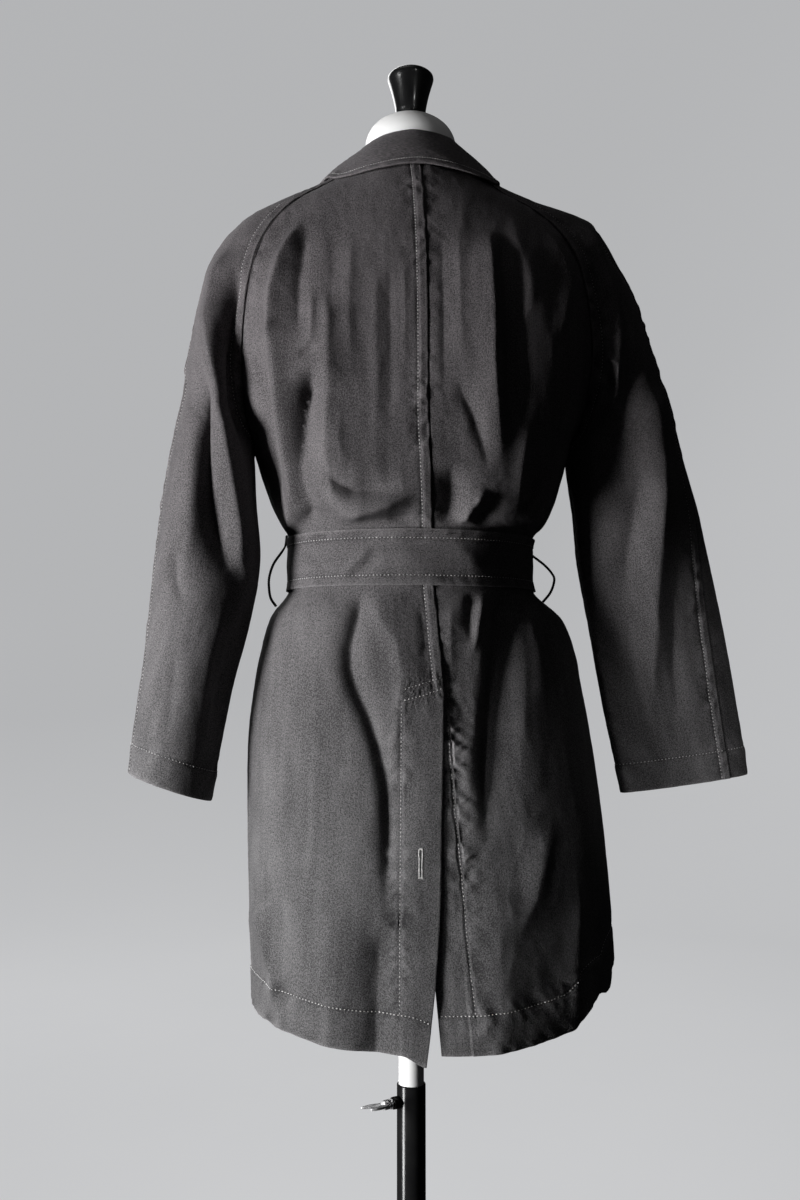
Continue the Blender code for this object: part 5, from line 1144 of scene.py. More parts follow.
for name, panel in panels.items():
    far = np.minimum(panel.across, panel.across[:, -1:] - panel.across)
    calm = ease(far, 0.0, 0.014)
    if not name.startswith("sleeve"):
        calm = calm * (1 - ease(panel.t, 11.4, 12.0) * (1 - ease(panel.t, 14.0, 14.6)))
    offset = 0.37 * len(name) + (0.9 if "right" in name else 0.0)
    rise = washed(panel.across + offset, panel.down, calm)
    # the crumple's tops paler where rubbed, its hollows darker with painted shade
    panel.raise_by(rise, np.clip(rise / 0.0011, -0.5, 0.6) * 0.5)

# ------------------------------------------------------------------- outputs
coat, notions = {}, {}


def riding(obj, body_name, slot, *nodes):
    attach(obj, body_name)
    if nodes:
        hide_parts(*nodes)
    return obj


for name, panel in panels.items():
    inner = panel.base - panel.n * (SKIN + np.clip(-panel.rise, 0.0, 0.0006))[..., None]
    obj = shell(name + "_cloth", panel.outer, inner, panel.keep, panel.across, panel.down, np.clip(panel.wear_and_shade, -1, 1), TWILL)
    coat[name] = riding(obj, "form", "washed_twill", name)

verts, faces = [], []
for name in ("back_right", "back_left", "sleeve_left_back", "sleeve_right_back"):
    panel = panels[name]
    base, cols = len(verts), panel.base.shape[1]
    verts += panel.outer.reshape(-1, 3).tolist()
    i, j = np.nonzero(panel.keep)
    k = base + i * cols + j
    faces += np.stack((k, k + 1, k + cols + 1, k + cols), axis=1).tolist()
back_tree = BVHTree.FromPolygons(verts, faces)

AWAY = np.array((math.sin(SIGHT_TURN), math.cos(SIGHT_TURN), 0.0))
RIGHT = np.array((-math.cos(SIGHT_TURN), math.sin(SIGHT_TURN), 0.0))
UP = np.array((0.0, 0.0, 1.0))
SIGHT_YAW = math.atan2(SHEET_AXIS[0] - SHEET_AXIS[1], SHEET_SCALE)
STANDING = AWAY * SIGHT_AWAY + UP * SIGHT_HEIGHT


def on_cloth(a, b):
    """The point of the back's cloth at a place on the elevation, and its normal."""
    s, up, deep = (a - SHEET_AXIS[1]) / SHEET_SCALE, (SHEET_MIDDLE - b) / SHEET_SCALE, 1.0
    d, h = deep * math.cos(SIGHT_TILT) - up * math.sin(SIGHT_TILT), deep * math.sin(SIGHT_TILT) + up * math.cos(SIGHT_TILT)
    s, d = s * math.cos(SIGHT_YAW) - d * math.sin(SIGHT_YAW), d * math.cos(SIGHT_YAW) + s * math.sin(SIGHT_YAW)
    way = mathutils.Vector(-AWAY * d + RIGHT * s + UP * h).normalized()
    place, n, _, _ = back_tree.ray_cast(mathutils.Vector(STANDING), way)
    if place is None:
        return None
    return np.array(place), np.array(n if n.dot(way) < 0 else -n)


def sight_line(path, step=1.5):
    """A line of the elevation laid on the cloth: points and normals."""
    found = [on_cloth(a, b) for a, b in resample(path, step)]
    found = [f for f in found if f is not None]
    return np.array([f[0] for f in found]), np.array([f[1] for f in found])


def stitches(name, lines, material, pitch=STITCH_PITCH, long=STITCH_LONG, r=STITCH_R, seed=5, proud=0.25):
    """Machine stitches along lines of (points, normals), as one piece."""
    rnd = np.random.RandomState(seed)
    centre, ahead, up = [], [], []
    for points, normal in lines:
        if len(points) < 3:
            continue
        steps = np.linalg.norm(np.diff(points, axis=0), axis=1)
        run = np.concatenate(([0.0], np.cumsum(steps)))
        at = np.arange(pitch, run[-1] - pitch / 2, pitch)
        take = lambda g, s: np.stack([np.interp(s, run, g[:, k]) for k in range(3)], axis=1)
        c = take(points, at)
        d = take(points, at + long / 2) - take(points, at - long / 2)
        gap = np.interp(at, (run[:-1] + run[1:]) / 2, steps) < 0.02
        centre.append(c[gap])
        ahead.append(d[gap])
        up.append(take(normal, at)[gap])
    c, d, n = np.concatenate(centre), np.concatenate(ahead), np.concatenate(up)
    d /= np.maximum(np.linalg.norm(d, axis=1, keepdims=True), 1e-9)
    side = np.cross(d, n)
    side /= np.maximum(np.linalg.norm(side, axis=1, keepdims=True), 1e-9)
    n = np.cross(side, d)
    d = d + side * rnd.uniform(-0.10, 0.10, (len(d), 1))
    half = long / 2 * rnd.uniform(0.85, 1.12, (len(d), 1))
    verts = [c - d * half - n * r * 0.9]
    for s in (-0.62, 0.62):
        for k in range(5):
            a = 2 * math.pi * k / 5 + 0.3
            verts.append(c + d * half * s + side * (r * math.cos(a)) + n * (r * math.sin(a) + r * proud))
    verts.append(c + d * half - n * r * 0.9)
    verts = np.stack(verts, axis=1)
    faces = []
    for q in range(len(c)):
        o = q * 12
        for k in range(5):
            m = (k + 1) % 5
            faces += [(o, o + 1 + m, o + 1 + k), (o + 1 + k, o + 1 + m, o + 6 + m, o + 6 + k), (o + 6 + k, o + 6 + m, o + 11)]
    obj = mesh_object(name, verts.reshape(-1, 3), faces, material)
    return riding(obj, "form", "washed_twill")


def overlock(name, path, normal, half_wide, material, seed):
    """The close stitches round a keyhole buttonhole, and its slit."""
    rnd = np.random.RandomState(seed)
    path = np.array(path)
    a, b = path[0], path[-1]
    d = (b - a) / np.linalg.norm(b - a)
    side = np.cross(d, normal)
    ring = []
    length = np.linalg.norm(b - a)
    for s in np.arange(0.0, length, 0.00062):
        for sign in (1, -1):
            wide = half_wide * (1.25 if s < 0.005 else 1.0)
            ring.append((a + d * s + side * sign * wide * 0.62, side * sign, 0.0013))
    for k in range(12):
        turn = math.pi * k / 11
        out = -d * math.sin(turn) + side * math.cos(turn)
        ring.append((a + out * half_wide * 0.72, out, 0.0013))
    for k in range(6):
        ring.append((b + side * (k - 2.5) * half_wide * 0.35, d, 0.0016))
    verts, faces = [], []
    for c, way, long in ring:
        way = way / np.linalg.norm(way)
        cross = np.cross(way, normal)
        r, base = 0.00028, len(verts)
        long = long * rnd.uniform(0.85, 1.15)
        for s in (-0.5, 0.5):
            for k in range(5):
                ang = 2 * math.pi * k / 5
                verts.append(c + way * long * s + cross * r * math.cos(ang) + normal * (r * math.sin(ang) + 0.00012))
        for k in range(5):
            m = (k + 1) % 5
            faces.append((base + k, base + m, base + 5 + m, base + 5 + k))
        faces += [tuple(base + k for k in range(4, -1, -1)), tuple(base + 5 + k for k in range(5))]
    return riding(mesh_object(name, verts, faces, material), "form", "washed_twill")


for name, panel in panels.items():
    for material, word in ((THREAD, "stitching"), (THREAD_PALE, "hem_stitching")):
        lines = [panel.at(i, j) for (i, j), m in panel.lines if m is material and len(i) > 3]
        if name == "back_left" and material is THREAD:
            lines += [sight_line(path) for path in VENT_BAR + (FLAP_STITCH,)]
        if name == "back_right" and material is THREAD:
            lines += [sight_line(UNDER_STITCH)]
        if lines:
            notions.setdefault(name, []).append(stitches("%s_%s" % (name, word), lines, material, seed=len(name) + len(word)))

hole = [on_cloth(420.8, 850.6), on_cloth(420.8, 878.0)]
notions["back_left"].append(overlock("vent_buttonhole", [h[0] for h in hole], hole[0][1], 0.0022, THREAD_PALE, 3))

# --------------------------------------------------------------------- collar
# One row for each section round the neck, from the centre back to the front
# end: neck_: where it is sewn on; crest_: top of its roll; edge_: the outer
# edge of the fall.
COLLAR_COLUMNS = ("neck_x", "neck_y", "neck_z", "crest_x", "crest_y", "crest_z", "edge_x", "edge_y", "edge_z")
COLLAR_ROWS = (
    (0.0000, 0.0570, 1.4629, 0.0000, 0.0555, 1.4946, 0.0000, 0.0845, 1.4508),
    (0.0318, 0.0490, 1.4635, 0.0305, 0.0455, 1.4935, 0.0462, 0.0770, 1.4472),
    (0.0524, 0.0285, 1.4651, 0.0505, 0.0200, 1.4930, 0.0821, 0.0500, 1.4490),
    (0.0611, -.0010, 1.4693, 0.0553, -.0030, 1.4938, 0.1000, -.0020, 1.4662),
    (0.0575, -.0300, 1.4597, 0.0514, -.0300, 1.4875, 0.1027, -.0460, 1.4524),
    (0.0451, -.0560, 1.4345, 0.0390, -.0575, 1.4640, 0.0860, -.0910, 1.3977),
    (0.0184, -.0700, 1.4166, 0.0144, -.0745, 1.4418, 0.0531, -.1170, 1.3507),
)
ROLL = 0.0042             # outer radius of the roll at the crest
COLLAR_SAG = (0.0085, 0.0010)  # the collar sits lower on the left shoulder than on the right
COLLAR_SPANS, STAND_STEPS, ROLL_STEPS, FALL_STEPS = 330, 11, 11, 36
COLLAR_STITCH = 0.0068


def collar_grid(spans):
    """Points of the collar's visible skin: up its inside, over the roll, down
    the fall; spans: places along the table, negative on the right."""
    rows = []
    up = np.array((0.0, 0.0, 1.0))
    for s in spans:
        side, t = (1 if s >= 0 else -1), abs(s)
        v = {n: float(read(COLLAR_ROWS, COLLAR_COLUMNS, n, t)) for n in COLLAR_COLUMNS}
        sag = COLLAR_SAG[0 if s >= 0 else 1] * float(ease(t, 0.0, 2.8) * (1 - ease(t, 3.2, 5.0)))
        v["neck_z"] -= 0.4 * sag
        v["crest_z"] -= 0.5 * sag
        v["edge_z"] -= sag
        neck, crest, edge = (np.array((side * v[k + "_x"], v[k + "_y"], v[k + "_z"])) for k in ("neck", "crest", "edge"))
        out = edge - neck
        out[2] = 0.0
        plan = np.array((crest[0], crest[1], 0.0))
        out = out / np.linalg.norm(out) * 0.5 + plan / np.linalg.norm(plan) * 0.5
        out /= np.linalg.norm(out)
        line = [neck + (crest - out * ROLL - neck) * k / STAND_STEPS for k in range(STAND_STEPS)]
        for k in range(ROLL_STEPS):
            a = math.radians(180 - 170 * k / (ROLL_STEPS - 1))
            line.append(crest + out * ROLL * math.cos(a) + up * ROLL * math.sin(a))
        start = line[-1]
        for k in range(1, FALL_STEPS + 1):
            f = k / FALL_STEPS
            line.append(start + (edge - start) * f + (out * 0.6 + up * 0.8) * 0.0035 * 4 * f * (1 - f))
        rows.append(line)
    return np.array(rows)


def stand_clear(points, least):
    """Moves points out until each is at least this far off the cloth under it."""
    verts, faces = [], []
    for panel in panels.values():
        q = panel.outer[:, ::2]
        q = q[:int(np.searchsorted(panel.t[:, 0], 8.0))]
        base, cols = len(verts), q.shape[1]
        verts += q.reshape(-1, 3).tolist()
        keep = panel.keep[:q.shape[0] - 1, ::2][:, :cols - 1]
        i, j = np.nonzero(keep)
        k = base + i * cols + j
        faces += np.stack((k, k + 1, k + cols + 1, k + cols), axis=1).tolist()
    tree = BVHTree.FromPolygons(verts, faces)
    middle = mathutils.Vector((0.0, 0.0, 1.36))
    moved = np.zeros(points.shape[:2])
    for index in np.ndindex(points.shape[:-1]):
        for _ in range(2):
            v = mathutils.Vector(points[index])
            place, n, _, away = tree.find_nearest(v)
            if n.dot(place - middle) < 0:
                n = -n
            high = (v - place).dot(n)
            if high < least and away < 0.04:
                points[index] = v + n * (least - high)
                moved[index] += least - high
    return moved


def relaxed(points, times):
    """Evens out a grid a little, with its edges kept."""
    for _ in range(times):
        q = points.copy()
        q[1:-1, 1:-1] = (points[:-2, 1:-1] + points[2:, 1:-1] + points[1:-1, :-2] + points[1:-1, 2:] + 2 * points[1:-1, 1:-1]) / 6
        q[1:-1, -1] = (points[:-2, -1] + points[2:, -1] + 2 * points[1:-1, -1]) / 4
        points = q
    return points


spans = np.linspace(-6.0, 6.0, COLLAR_SPANS + 1)
skin = collar_grid(spans)
first_fall = STAND_STEPS + ROLL_STEPS
# the collar goes round the centre back in one smooth curve
reach = np.arange(-24, 25)
share = np.exp(-((reach / 11.0) ** 2))
evened = sum(w * np.roll(skin, -int(k), axis=0) for k, w in zip(reach, share / share.sum()))
centred = (1 - ease(np.abs(spans), 0.6, 1.8))[:, None, None]
skin = skin * (1 - centred) + evened * centred
stand_clear(skin[:, first_fall:], 0.0032)
skin[:, first_fall - 4:] = relaxed(skin[:, first_fall - 4:], 6)
stand_clear(skin[:, first_fall:], 0.0030)
collar_n = np.cross(np.gradient(skin, axis=0), np.gradient(skin, axis=1))
collar_n /= np.linalg.norm(collar_n, axis=-1, keepdims=True)
if np.sum(collar_n[COLLAR_SPANS // 2, -1] * np.array((0, 1, 1))) < 0:
    collar_n = -collar_n
collar = Panel("collar", skin, collar_n, np.ones((COLLAR_SPANS, skin.shape[1] - 1), bool))
rim = np.concatenate((skin[0, first_fall:], skin[:, -1], skin[-1, first_fall:][::-1]))
dist, along = nearest(skin, resample(rim, 0.0008))
rip = pucker(along, dist, COLLAR_STITCH, 401, 0.008)
on_fall = ease(np.arange(skin.shape[1])[None, :] + 0 * dist, first_fall - 8.0, first_fall + 4.0)
# paler rubbed edge and pucker tops; painted shade at the stitching and in the puckers' hollows
collar.raise_by(
    on_fall * (-.0006 * (1 - ease(dist, 0, 0.0012)) + 0.0005 * (1 - ease(dist, COLLAR_STITCH - 0.001, COLLAR_STITCH + 0.0025))
               - .0006 * np.exp(-(((dist - COLLAR_STITCH) / 0.0012) ** 2)) + 0.00042 * rip),
    on_fall * (0.8 * np.exp(-((dist / 0.0015) ** 2)) + 0.9 * np.clip(rip, -0.4, 1) - 0.4 * np.exp(-(((dist - COLLAR_STITCH) / 0.0012) ** 2))),
)
collar.raise_by(washed(collar.down + 3.3, collar.across, 0.7))
roll_row = (np.arange(skin.shape[1])[None, :] - (STAND_STEPS + ROLL_STEPS / 2)) / 4.0
collar.raise_by(0.0, 0.5 * np.exp(-(roll_row ** 2)) * (0.6 + 0.4 * grain(collar.down, 0 * collar.down, 0.02, 1, 77)))
inner = skin - collar_n * 0.0015
obj = shell("collar_cloth", collar.outer, inner, collar.keep, collar.down, collar.across, np.clip(collar.wear_and_shade, -1, 1), TWILL)
coat["collar"] = riding(obj, "form", "washed_twill", "collar")
i, j = collar.row_crossing(np.where(on_fall > 0.5, np.minimum(dist, collar.across[:, -1:] - collar.across + 0.0), 9.0), COLLAR_STITCH, True)
ends = []
for row in (0, -1):
    down_run = np.linspace(first_fall + 2.0, float(j[0 if row == 0 else -1]), 30)
    at_i = np.full(30, float(i[0]) if row == 0 else float(i[-1]))
    ends.append(collar.at(at_i, down_run))
notions["collar"] = [stitches("collar_stitching", [collar.at(i, j)], THREAD, pitch=0.0027, seed=9)]

# ----------------------------------------------------------------------- belt
BELT_STEPS, BELT_ROWS = 420, 27
BELT_FREE_END = 58.0      # degrees that the belt's free end runs past the buckle
belt_t = np.linspace(12.0, 14.0, BELT_ROWS + 1)[:, None]
belt_turn = np.linspace(-180.0 - BELT_FREE_END, 178.4, BELT_STEPS + 1)[None, :]
real = np.where(belt_turn < -180.0, belt_turn + 360.0, belt_turn)
p, n = body_cloth(belt_t + 0 * real, real + 0 * belt_t)
lift = BELT_GAP + BELT_THICK + FLAP * (1 - ease(180.0 - np.abs(real), 12.0, 26.0))
lift = lift + (BELT_THICK + 0.0012) * (1 - ease(belt_turn, -192.0, -166.0))
belt_p = p + n * (lift + 0 * belt_t)[..., None]
belt_n = n.copy()
belt_n[..., 2] = 0.0
belt_n /= np.linalg.norm(belt_n, axis=-1, keepdims=True)
belt = Panel("belt", belt_p, belt_n, np.ones((BELT_ROWS, BELT_STEPS), bool))
top = belt.down
low = belt.down[-1:] - belt.down
edge = np.minimum(top, low)
BELT_STITCH = 0.0098
rise = -.0005 * (1 - ease(edge, 0, 0.0013)) - .00062 * np.exp(-(((edge - BELT_STITCH) / 0.0015) ** 2))
rip = np.where(top < low, pucker(belt.across, edge, BELT_STITCH, 501, 0.007), pucker(belt.across + 5.0, edge, BELT_STITCH, 502, 0.007))
rise += 0.00085 * rip + 0.0004 * (1 - ease(edge, BELT_STITCH - 0.001, BELT_STITCH + 0.002))
rise += 0.0010 * grain(belt.across + 0.8 * belt.down, belt.down, 0.034, 0.040, 511) * ease(edge, 0.0, 0.012)
a, b = on_sheet(belt_p)
for path, wide, high in (
    (((336, 577), (352, 566), (366, 552), (374, 546)), 4.5, 0.0022),
    (((347, 582), (364, 569), (382, 554)), 5.5, -.0020),
    (((300, 548), (318, 560), (330, 578)), 6.0, -.0016),
    (((455, 546), (470, 556), (478, 572)), 6.0, 0.0008),
    (((500, 545), (492, 560), (489, 575)), 5.0, -.0008),
):
    far, _, along = near_path(a, b, path)
    rise += high * np.exp(-((far / wide) ** 2)) * ease(along, -0.02, 0.3) * ease(1 - along, -0.02, 0.3) * ease(belt_n @ AWAY, 0.0, 0.3)
# paler rubbed edges and pucker tops; painted shade at the stitching and in the puckers' hollows
belt.raise_by(rise, 0.9 * np.exp(-((edge / 0.0016) ** 2)) + 0.8 * np.clip(rip, -0.4, 1) - 0.4 * np.exp(-(((edge - BELT_STITCH) / 0.0012) ** 2)))
belt.raise_by(washed(belt.across + 7.0, belt.down, 0.5))
obj = shell("belt_cloth", belt.outer, belt_p - belt_n * 0.0019, belt.keep, belt.down, belt.across, np.clip(belt.wear_and_shade, -1, 1), TWILL)
coat["belt"] = riding(obj, "form", "washed_twill", "belt")
columns = np.arange(BELT_STEPS + 1.0)
per_row = float(belt.down[-1].mean()) / BELT_ROWS
belt_lines = [belt.at(np.full(len(columns), d / per_row), columns) for d in (BELT_STITCH, float(belt.down[-1].mean()) - BELT_STITCH)]
tip = np.full(40, 5.0)
belt_lines.append(belt.at(np.linspace(BELT_STITCH / per_row, BELT_ROWS - BELT_STITCH / per_row, 40), tip))
notions["belt"] = [stitches("belt_stitching", belt_lines, THREAD, seed=12)]


# ------------------------------------------------------ thread loops of the belt
def strand(verts, faces, line, r, sides=7):
    """A round strand along a line, added to lists of points and faces."""
    line = np.asarray(line)
    way = np.gradient(line, axis=0)
    way /= np.linalg.norm(way, axis=1, keepdims=True)
    ref = np.cross(way, (0.0, 1.0, 0.0))
    ref /= np.maximum(np.linalg.norm(ref, axis=1, keepdims=True), 1e-6)
    other = np.cross(way, ref)
    base = len(verts)
    for c, x, y in zip(line, ref, other):
        for k in range(sides):
            a = 2 * math.pi * k / sides
            verts.append(c + x * r * math.cos(a) + y * r * math.sin(a))
    for i in range(len(line) - 1):
        for k in range(sides):
            m = (k + 1) % sides
            o = base + i * sides
            faces.append((o + k, o + m, o + sides + m, o + sides + k))
    faces.append(tuple(base + k for k in range(sides - 1, -1, -1)))
    faces.append(tuple(base + (len(line) - 1) * sides + k for k in range(sides)))


LOOP_R = 0.0016
LOOP_LEFT = ((0.1371, 1.0571), (0.1461, 1.0435), (0.1506, 1.0299), (0.1513, 1.0188), (0.1494, 1.0057))
LOOP_RIGHT = ((-.1359, 1.0571), (-.1487, 1.0460), (-.1561, 1.0364), (-.1578, 1.0284), (-.1524, 1.0148))
for side, rows, low_t, word in ((1, LOOP_LEFT, 14.62, "left"), (-1, LOOP_RIGHT, 14.40, "right")):
    top, n = body_cloth(np.array([11.62]), np.array([side * 103.0]))
    foot, m = body_cloth(np.array([low_t]), np.array([side * 90.0]))
    points = [top[0] + n[0] * (LOOP_R + 0.0006), top[0] + n[0] * 0.0036 + np.array((0, 0, -0.009))]
    points += [np.array((x, SIDE_Y - 0.018 * (1 - k / 4.0), z)) for k, (x, z) in enumerate(rows)]
    points += [foot[0] + m[0] * (LOOP_R + 0.0006)]
    smooth = [read([tuple(q) for q in points], ("x", "y", "z"), k, np.linspace(0, len(points) - 1, 260)) for k in "xyz"]
    line = resample(np.stack(smooth, axis=1), 0.00055)
    way = np.gradient(line, axis=0)
    way /= np.linalg.norm(way, axis=1, keepdims=True)
    flat = np.array((0.0, 1.0, 0.0))
    across = np.cross(way, flat)
    run = np.arange(len(line)) * 0.00055
    verts, faces = [], []
    for k in range(3):
        phase = 2 * math.pi * (run / 0.0066 + k / 3)
        weave = line + across * (0.00085 * np.sin(phase))[:, None] + flat * (0.00050 * np.sin(2 * phase))[:, None]
        strand(verts, faces, weave, 0.00068)
    obj = mesh_object("belt_loop_%s_plait" % word, verts, faces, THREAD_BLACK)
    coat["belt_loop_" + word] = riding(obj, "form", "washed_twill", "belt_loop_" + word)


# -------------------------------------------------------------- turned pieces
def turned(name, profile, steps, material, spread=1):
    """Spins a profile of (radius, height) round Z. One that starts and ends on
    the axis is closed there, any other on itself."""
    verts, faces, rings = [], [], []
    for r, h in profile:
        base = len(verts)
        if r < 1e-7:
            verts.append((0, 0, h))
            rings.append([base])
        else:
            verts += [(r * math.cos(2 * math.pi * k / steps), r * math.sin(2 * math.pi * k / steps), h) for k in range(steps)]
            rings.append(list(range(base, base + steps)))
    closed = len(rings[0]) > 1 and len(rings[-1]) > 1
    for a, b in list(zip(rings, rings[1:])) + ([(rings[-1], rings[0])] if closed else []):
        for k in range(steps):
            m = (k + 1) % steps
            faces.append(tuple(dict.fromkeys((a[k % len(a)], a[m % len(a)], b[m % len(b)], b[k % len(b)]))))
    obj = mesh_object(name, verts, faces, material, sharp=38)
    mesh = bmesh.new()
    mesh.from_mesh(obj.data)
    bmesh.ops.recalc_face_normals(mesh, faces=mesh.faces[:])
    mesh.to_mesh(obj.data)
    mesh.free()
    return obj


def rounded(profile, size, steps=4):
    """The profile with its corners rounded off."""
    out = [profile[0]]
    for a, b, c in zip(profile, profile[1:], profile[2:]):
        a, b, c = (np.array(q, float) for q in (a, b, c))
        la, lc = np.linalg.norm(a - b), np.linalg.norm(c - b)
        r = min(size, la * 0.45, lc * 0.45)
        if r < 1e-5:
            out.append(tuple(b))
            continue
        p0, p2 = b + (a - b) / la * r, b + (c - b) / lc * r
        for k in range(steps + 1):
            f = k / steps
            out.append(tuple(p0 * (1 - f) ** 2 + b * 2 * f * (1 - f) + p2 * f * f))
    return out + [profile[-1]]


def flowing(profile, count):
    """A smooth profile through the given points."""
    at = np.linspace(0, len(profile) - 1, count)
    return [(float(a), float(b)) for a, b in zip(*(read(profile, ("r", "h"), k, at) for k in ("r", "h")))]


# buttons: four holes, sewn on crosswise
BUTTON_ROWS = (3.0, 5.6, 8.1, 16.3, 18.1, 19.4)
disc = turned("button_disc", rounded(
    ((0, 0), (BUTTON_R - 0.001, 0), (BUTTON_R, 0.001), (BUTTON_R, BUTTON_H - 0.0008), (BUTTON_R - 0.0012, BUTTON_H),
     (BUTTON_R - 0.003, BUTTON_H - 0.0002), (BUTTON_R - 0.0042, BUTTON_H - 0.0011), (0, BUTTON_H - 0.0013)), 0.0006, 3), 56, HORN)
for k in range(4):
    x, y = 0.0019 * (1 if k in (0, 3) else -1), 0.0019 * (1 if k < 2 else -1)
    drill = turned("button_drill", ((0, -0.001), (0.0010, -0.001), (0.0010, 0.005), (0, 0.005)), 16, HORN)
    drill.location = (x, y, 0)
    drill.hide_render = True
    cut = disc.modifiers.new("hole", "BOOLEAN")
    cut.operation, cut.solver, cut.object = "DIFFERENCE", "EXACT", drill
graph = bpy.context.evaluated_depsgraph_get()
button_mesh = bpy.data.meshes.new_from_object(disc.evaluated_get(graph))
button_mesh.name = "button"
for old in [o for o in bpy.data.objects if o.name.startswith("button_drill") or o is disc]:
    bpy.data.objects.remove(old, do_unlink=True)
button_mesh.shade_smooth()
button_mesh.set_sharp_from_angle(angle=math.radians(38))
for k, t in enumerate(BUTTON_ROWS):
    p, n = body_cloth(np.array([t]), np.array([-179.9]))
    p = p[0] + n[0] * (FLAP + 0.0012)
    tilt = math.atan2(n[0][2], -n[0][1])
    place = mathutils.Matrix.Translation(p) @ mathutils.Matrix.Rotation(math.pi / 2 - tilt, 4, "X") @ mathutils.Matrix.Rotation(0.35 * k, 4, "Z")
    data = button_mesh.copy()
    data.transform(place)
    obj = bpy.data.objects.new("front_button_%d_horn" % (k + 1), data)
    bpy.context.scene.collection.objects.link(obj)
    riding(obj, "form", "horn", "front_button_%d" % (k + 1))
    verts, faces = [], []
    for a, b in (((0.0019, 0.0019), (-.0019, -.0019)), ((0.0019, -.0019), (-.0019, 0.0019))):
        for shift in (-.00035, 0.00035):
            arc = []
            for s in np.linspace(0, 1, 13):
                x, y = a[0] + (b[0] - a[0]) * s, a[1] + (b[1] - a[1]) * s
                way = np.array((-(b[1] - a[1]), b[0] - a[0])) / math.hypot(b[0] - a[0], b[1] - a[1])
                arc.append(place @ mathutils.Vector((x + way[0] * shift, y + way[1] * shift,
                                                     BUTTON_H - 0.0018 + 0.0012 * math.sin(math.pi * s) ** 0.5)))
            strand(verts, faces, [tuple(v) for v in arc], 0.00026, 6)
    thread_piece = riding(mesh_object("front_button_%d_thread" % (k + 1), verts, faces, THREAD), "form", "washed_twill")
    front = panels["front_right"]
    i = float(np.interp(t, front.t[:, 0], np.arange(front.t.shape[0])))
    j0 = float(np.interp(179.9, np.abs(front.turn[int(i)]), np.arange(front.turn.shape[1])))
    mid, mid_n = front.at(np.array([i]), np.array([j0]))
    level = np.array((1.0, 0.0, 0.0))
    level = level - mid_n[0] * level.dot(mid_n[0])
    level /= np.linalg.norm(level)
    notions.setdefault("front_right", []).append(
        overlock("front_buttonhole_%d" % (k + 1), [mid[0] + level * 0.0030, mid[0] - level * 0.0225], mid_n[0], 0.0020, THREAD, 20 + k))

# the buckle: a rounded rectangular slide, softened at its edges
mid_z = float(body("zf", 13.0))
face_y = -float(body("front", 12.0)) - BELT_GAP - 2 * BELT_THICK - FLAP - 0.0020


def buckle_ring(w, h, r, y):
    ring = []
    for cx, cz, a0 in ((w - r, h - r, 0), (-w + r, h - r, 90), (-w + r, -h + r, 180), (w - r, -h + r, 270)):
        for k in range(9):
            a = math.radians(a0 + 11.25 * k)
            ring.append((cx + r * math.cos(a), y, mid_z + cz + r * math.sin(a)))
    return ring


verts, faces, count = [], [], 36
wide, tall, bar, deep, corner, y0 = 0.027, 0.0345, 0.0055, 0.0040, 0.007, face_y - 0.0006
section = [(0.0, 0.0), (0.0, 0.0030), (0.0007, 0.0037), (0.0018, 0.0040), (0.0037, 0.0040), (0.0048, 0.0037), (0.0055, 0.0030), (0.0055, 0.0)]
for cut_in, out in section:
    verts += buckle_ring(wide - cut_in, tall - cut_in, corner - cut_in * 0.6, y0 - out)
for s in range(len(section)):
    z = (s + 1) % len(section)
    for k in range(count):
        m = (k + 1) % count
        faces.append((s * count + k, s * count + m, z * count + m, z * count + k))
obj = mesh_object("belt_buckle_horn", verts, faces, HORN, sharp=50)
mesh = bmesh.new()
mesh.from_mesh(obj.data)
bmesh.ops.recalc_face_normals(mesh, faces=mesh.faces[:])
mesh.to_mesh(obj.data)
mesh.free()
riding(obj, "form", "horn", "belt_buckle")

